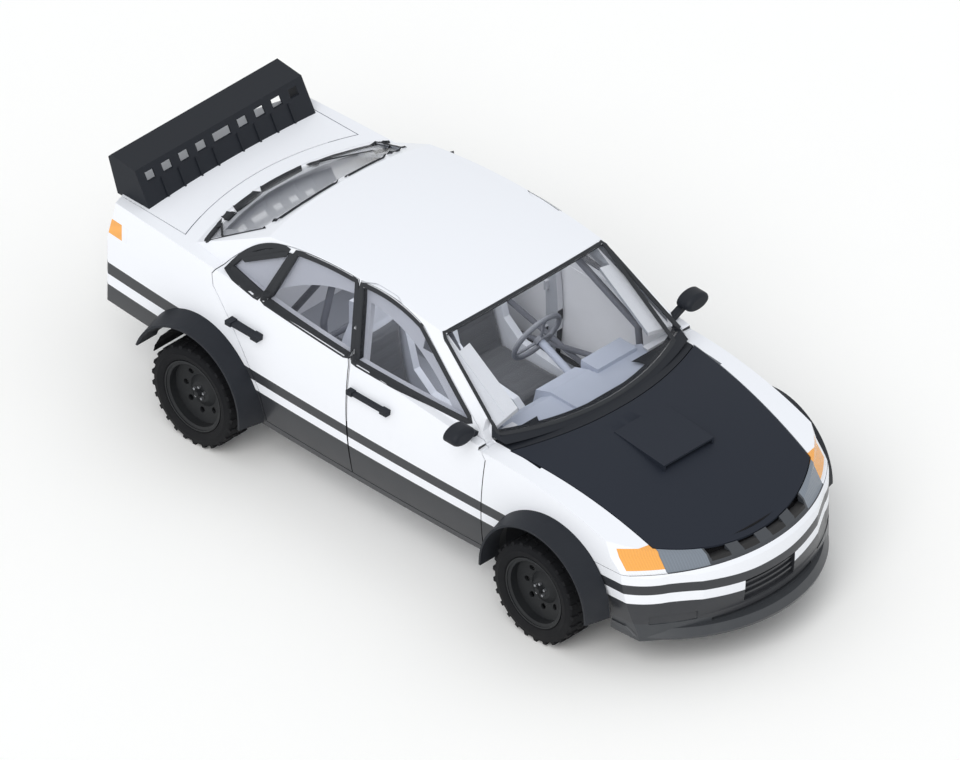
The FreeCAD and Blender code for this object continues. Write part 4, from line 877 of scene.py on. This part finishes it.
# rubber strips round every pane, with a wide one under the rear screen
def makeSeals():
    for end in ("front", "rear"):
        for hand in ("left", "right"):
            door = f"door_{end}_{hand}"
            for i, loop in enumerate(outerLoops(f"glass_{end}_{hand}")):
                piece = edgeStrip(evenLoop(loop), [door], lambda point: sealSizes["door"])
                finishPiece(piece, f"seal_{end}_{hand}_{i}", "frameBlack", door)
    skins = ["roof_panel", "body_side_left", "body_side_right", "bulkhead", "parcel_shelf"]
    for loop in outerLoops("screens"):
        front = max(point.x for point in loop) > 0
        width = (lambda point: sealSizes["windscreen"]) if front else rearWidth
        piece = edgeStrip(evenLoop(loop), skins, width, stripSizes["scanSteps"])
        name = "seal_windscreen" if front else "seal_rearScreen"
        finishPiece(piece, name, "frameBlack", "chassis")


radiatorSizes = {"axis": 1.125, "setBack": 0.08, "low": 0.662, "high": 0.722, "half": 0.34, "fins": 60,
                 "depth": 0.014, "lean": 0.5, "pleat": 0.004}


# a finned core behind the grille's openings, bowed as the grille is
def makeRadiator():
    core = radiatorSizes
    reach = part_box("grille")[1][0] - core["axis"] - core["setBack"]
    half = math.asin(core["half"] / reach)
    tall = core["high"] - core["low"]
    section = []
    for depth, rise in ((0, 0), (0, tall), (core["depth"], tall), (core["depth"], 0)):
        radius = reach - rise * core["lean"] - depth
        section.append((core["axis"] + radius * math.cos(half), radius * math.sin(half), core["low"] + rise))
    drawLine(section, closed=True)
    axis = (core["axis"], 0, 0)
    piece = sweep(2 * core["fins"], math.degrees(2 * half), axis, (0, 0, 1), filled=True)
    for vert in piece.data.vertices:
        arm = Vector((vert.co.x - core["axis"], vert.co.y))
        ring = round((math.atan2(arm.y, arm.x) / half + 1) * core["fins"])
        if ring % 2:
            pleated = arm * (1 - core["pleat"] / arm.length)
            vert.co.x = core["axis"] + pleated.x
            vert.co.y = pleated.y
    finishPiece(piece, "radiatorCore", "deepBlack", "chassis")


linerSizes = {"radius": 0.374, "inner": 0.60, "outer": 0.838, "start": 96, "end": 166, "steps": 20,
              "rib": 0.004, "wall": 0.003}


# thin plastic liners in the rear half of each rear wheel arch, with a raised rib at every fourth step
def makeArchLiners():
    size = linerSizes
    start = math.radians(size["start"])
    step = math.radians(size["end"] - size["start"]) / size["steps"]
    for hand, side in (("left", 1), ("right", -1)):
        hub = wheelCentre("rear", hand)
        x = hub.x + size["radius"] * math.cos(start)
        z = hub.z + size["radius"] * math.sin(start)
        widths = (size["inner"], (size["inner"] + size["outer"]) / 2, size["outer"])
        drawLine([(x, side * y, z) for y in widths])
        piece = sweep(size["steps"], size["end"] - size["start"], (hub.x, 0, hub.z), (0, 1, 0))
        for vert in piece.data.vertices:
            arm = Vector((vert.co.x - hub.x, vert.co.z - hub.z))
            if round((math.atan2(arm.y, arm.x) - start) / step) % 4 == 2:
                ribbed = arm * (1 + size["rib"] / arm.length)
                vert.co.x = hub.x + ribbed.x
                vert.co.z = hub.z + ribbed.y
        applyModifier(piece, "SOLIDIFY", thickness=size["wall"])
        smoothSides(piece, 50)
        finishPiece(piece, f"archLiner_{hand}", "deepBlack", "chassis")


mirrorSizes = {"high": 0.044, "wide": 0.074, "thick": 0.004, "edge": 0.0012, "place": (0.6805, 0.898, 1.078)}


# reflecting oval in the flat back of each mirror
def makeMirrorGlass():
    size = mirrorSizes
    x, y, z = size["place"]
    for hand, side in (("left", 1), ("right", -1)):
        bpy.ops.mesh.primitive_cylinder_add(vertices=48, radius=1, depth=size["thick"])
        piece = bpy.context.object
        piece.scale = (size["high"], size["wide"], 1)
        piece.rotation_euler = (0, math.radians(90), 0)
        piece.location = (x, side * y, z)
        bpy.ops.object.transform_apply(location=True, rotation=True, scale=True)
        applyModifier(piece, "BEVEL", width=size["edge"], segments=2)
        smoothSides(piece)
        finishPiece(piece, f"mirrorGlass_{hand}", "mirrorGlass", f"door_front_{hand}")


# cap: how far the cloth may swell; channels: their depth, count and half width
cushionSizes = {"voxel": 0.009, "inset": 0.006, "cap": 0.012, "frames": 16, "pressure": 3.5,
                "middle": 0.345, "channelDepth": 0.005, "channelRun": 36, "channelHalf": 0.125}


# padded seat covers: swollen cloth with sewn channels, one for each seat
def makeCushions():
    for hand, side in (("left", 1), ("right", -1)):
        mesh = bmesh.new()
        mesh.from_mesh(nodes["seat_cushions"].data)
        bmesh.ops.remove_doubles(mesh, verts=mesh.verts, dist=0.00002)
        other = [vert for vert in mesh.verts if vert.co.y * side < 0]
        bmesh.ops.delete(mesh, geom=other, context="VERTS")
        for vert in mesh.verts:
            vert.normal_update()
        for vert in mesh.verts:
            vert.co -= vert.normal * cushionSizes["inset"]
        piece = pieceFrom(mesh, "cushion")
        applyModifier(piece, "REMESH", mode="VOXEL", voxel_size=cushionSizes["voxel"])
        swell(piece)
        sewChannels(piece, side)
        for face in piece.data.polygons:
            face.use_smooth = True
        finishPiece(piece, f"seatCover_{hand}", "seatCloth", "chassis")
        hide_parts("seat_cushions")


# lets pressure fill the cover, then caps how far each point has moved
def swell(piece):
    start = [v.co.copy() for v in piece.data.vertices]
    cloth = piece.modifiers.new("cover", "CLOTH")
    cloth.settings.use_pressure = True
    cloth.settings.uniform_pressure_force = cushionSizes["pressure"]
    cloth.settings.effector_weights.gravity = 0
    for frameNumber in range(1, cushionSizes["frames"] + 1):
        bpy.context.scene.frame_set(frameNumber)
    bpy.ops.object.modifier_apply(modifier="cover")
    bpy.context.scene.frame_set(1)
    for vert, old in zip(piece.data.vertices, start):
        moved = vert.co - old
        if moved.length > cushionSizes["cap"]:
            vert.co = old + moved.normalized() * cushionSizes["cap"]


# presses sewn channels into the cover, across the seat and its back
def sewChannels(piece, side):
    size = cushionSizes
    middle = side * size["middle"]
    for vert in piece.data.vertices:
        run = vert.co.x - 0.9 * vert.co.z
        channel = abs(math.sin(run * size["channelRun"])) ** 0.35
        inner = max(0.0, 1 - (abs(vert.co.y - middle) / size["channelHalf"]) ** 4)
        vert.co -= vert.normal * size["channelDepth"] * (1 - channel) * inner


makeTyres()
makeWheelParts()
print("wheels made")
makeSeals()
makeRadiator()
makeArchLiners()
makeMirrorGlass()
print("trim made")
makeCushions()
print("cushions made")


floorSizes = {"side": 60.0, "tone": (0.99, 0.976, 0.952), "paleTone": (0.999, 0.984, 0.958)}
lightSizes = {"sky": (0.94, 0.97, 1.0), "seenSky": (0.965, 0.965, 0.965), "strength": 0.785,
              "seenStrength": 0.185, "sunTilt": 45, "sunTurn": 25, "sunEnergy": 1.18, "sunAngle": 40,
              "fillPlace": (-0.3, 0, 1.36), "fillLong": 1.1, "fillWide": 0.85, "fillPower": 8}
cameraSizes = {"azimuth": 45, "target": (-0.015, 0, 0.6225), "reach": 12.0, "span": 5.217}


def makeFloor():
    bpy.ops.mesh.primitive_plane_add(size=floorSizes["side"], location=(0, 0, 0))
    floor = bpy.context.object
    floor.name = "floor"
    material, tree, shader = makeMaterial("floorPale", floorSizes["tone"], 0.9)
    shader.inputs["Specular IOR Level"].default_value = 0
    noise = addNode(tree, "ShaderNodeTexNoise")
    tree.links.new(placeOf(tree), noise.inputs["Vector"])
    noise.inputs["Scale"].default_value = 2
    shade = mixColors(tree, noise.outputs["Fac"], floorSizes["tone"], floorSizes["paleTone"])
    tree.links.new(shade, shader.inputs["Base Color"])
    floor.data.materials.append(material)


# an even sky, a wide soft sun, and a fill under the roof so that the cabin reads at its own colours
def makeLight():
    size = lightSizes
    world = bpy.data.worlds.new("softStudio")
    bpy.context.scene.world = world
    world.use_nodes = True
    tree = world.node_tree
    background = tree.nodes["Background"]
    ray = addNode(tree, "ShaderNodeLightPath")
    seen = mathNode(tree, "MAXIMUM", ray.outputs["Is Camera Ray"], ray.outputs["Is Glossy Ray"])
    seen = mathNode(tree, "MAXIMUM", seen, ray.outputs["Is Transmission Ray"])
    tree.links.new(mixColors(tree, seen, size["sky"], size["seenSky"]), background.inputs["Color"])
    strength = mathNode(tree, "MULTIPLY_ADD", seen, size["seenStrength"])
    strength.node.inputs[2].default_value = size["strength"]
    tree.links.new(strength, background.inputs["Strength"])
    turn = (math.radians(size["sunTilt"]), 0, math.radians(size["sunTurn"]))
    bpy.ops.object.light_add(type="SUN", rotation=turn)
    sun = bpy.context.object
    sun.data.energy = size["sunEnergy"]
    sun.data.angle = math.radians(size["sunAngle"])
    bpy.ops.object.light_add(type="AREA", location=size["fillPlace"])
    fill = bpy.context.object
    fill.data.shape = "RECTANGLE"
    fill.data.size = size["fillLong"]
    fill.data.size_y = size["fillWide"]
    fill.data.energy = size["fillPower"]
    fill.visible_camera = False
    fill.visible_glossy = False


# a parallel view in which the three axes are foreshortened alike
def makeCamera():
    azimuth = math.radians(cameraSizes["azimuth"])
    elevation = math.asin(math.tan(math.radians(30)))
    back = Vector((math.sin(azimuth) * math.cos(elevation), -math.cos(azimuth) * math.cos(elevation),
                   math.sin(elevation)))
    bpy.ops.object.camera_add(location=Vector(cameraSizes["target"]) + back * cameraSizes["reach"])
    camera = bpy.context.object
    camera.rotation_euler = back.to_track_quat("Z", "Y").to_euler()
    camera.data.type = "ORTHO"
    camera.data.ortho_scale = cameraSizes["span"]
    camera.data.clip_end = 100
    bpy.context.scene.camera = camera


makeFloor()
makeLight()
makeCamera()
bpy.context.scene.view_settings.view_transform = "Standard"
print("stage set")
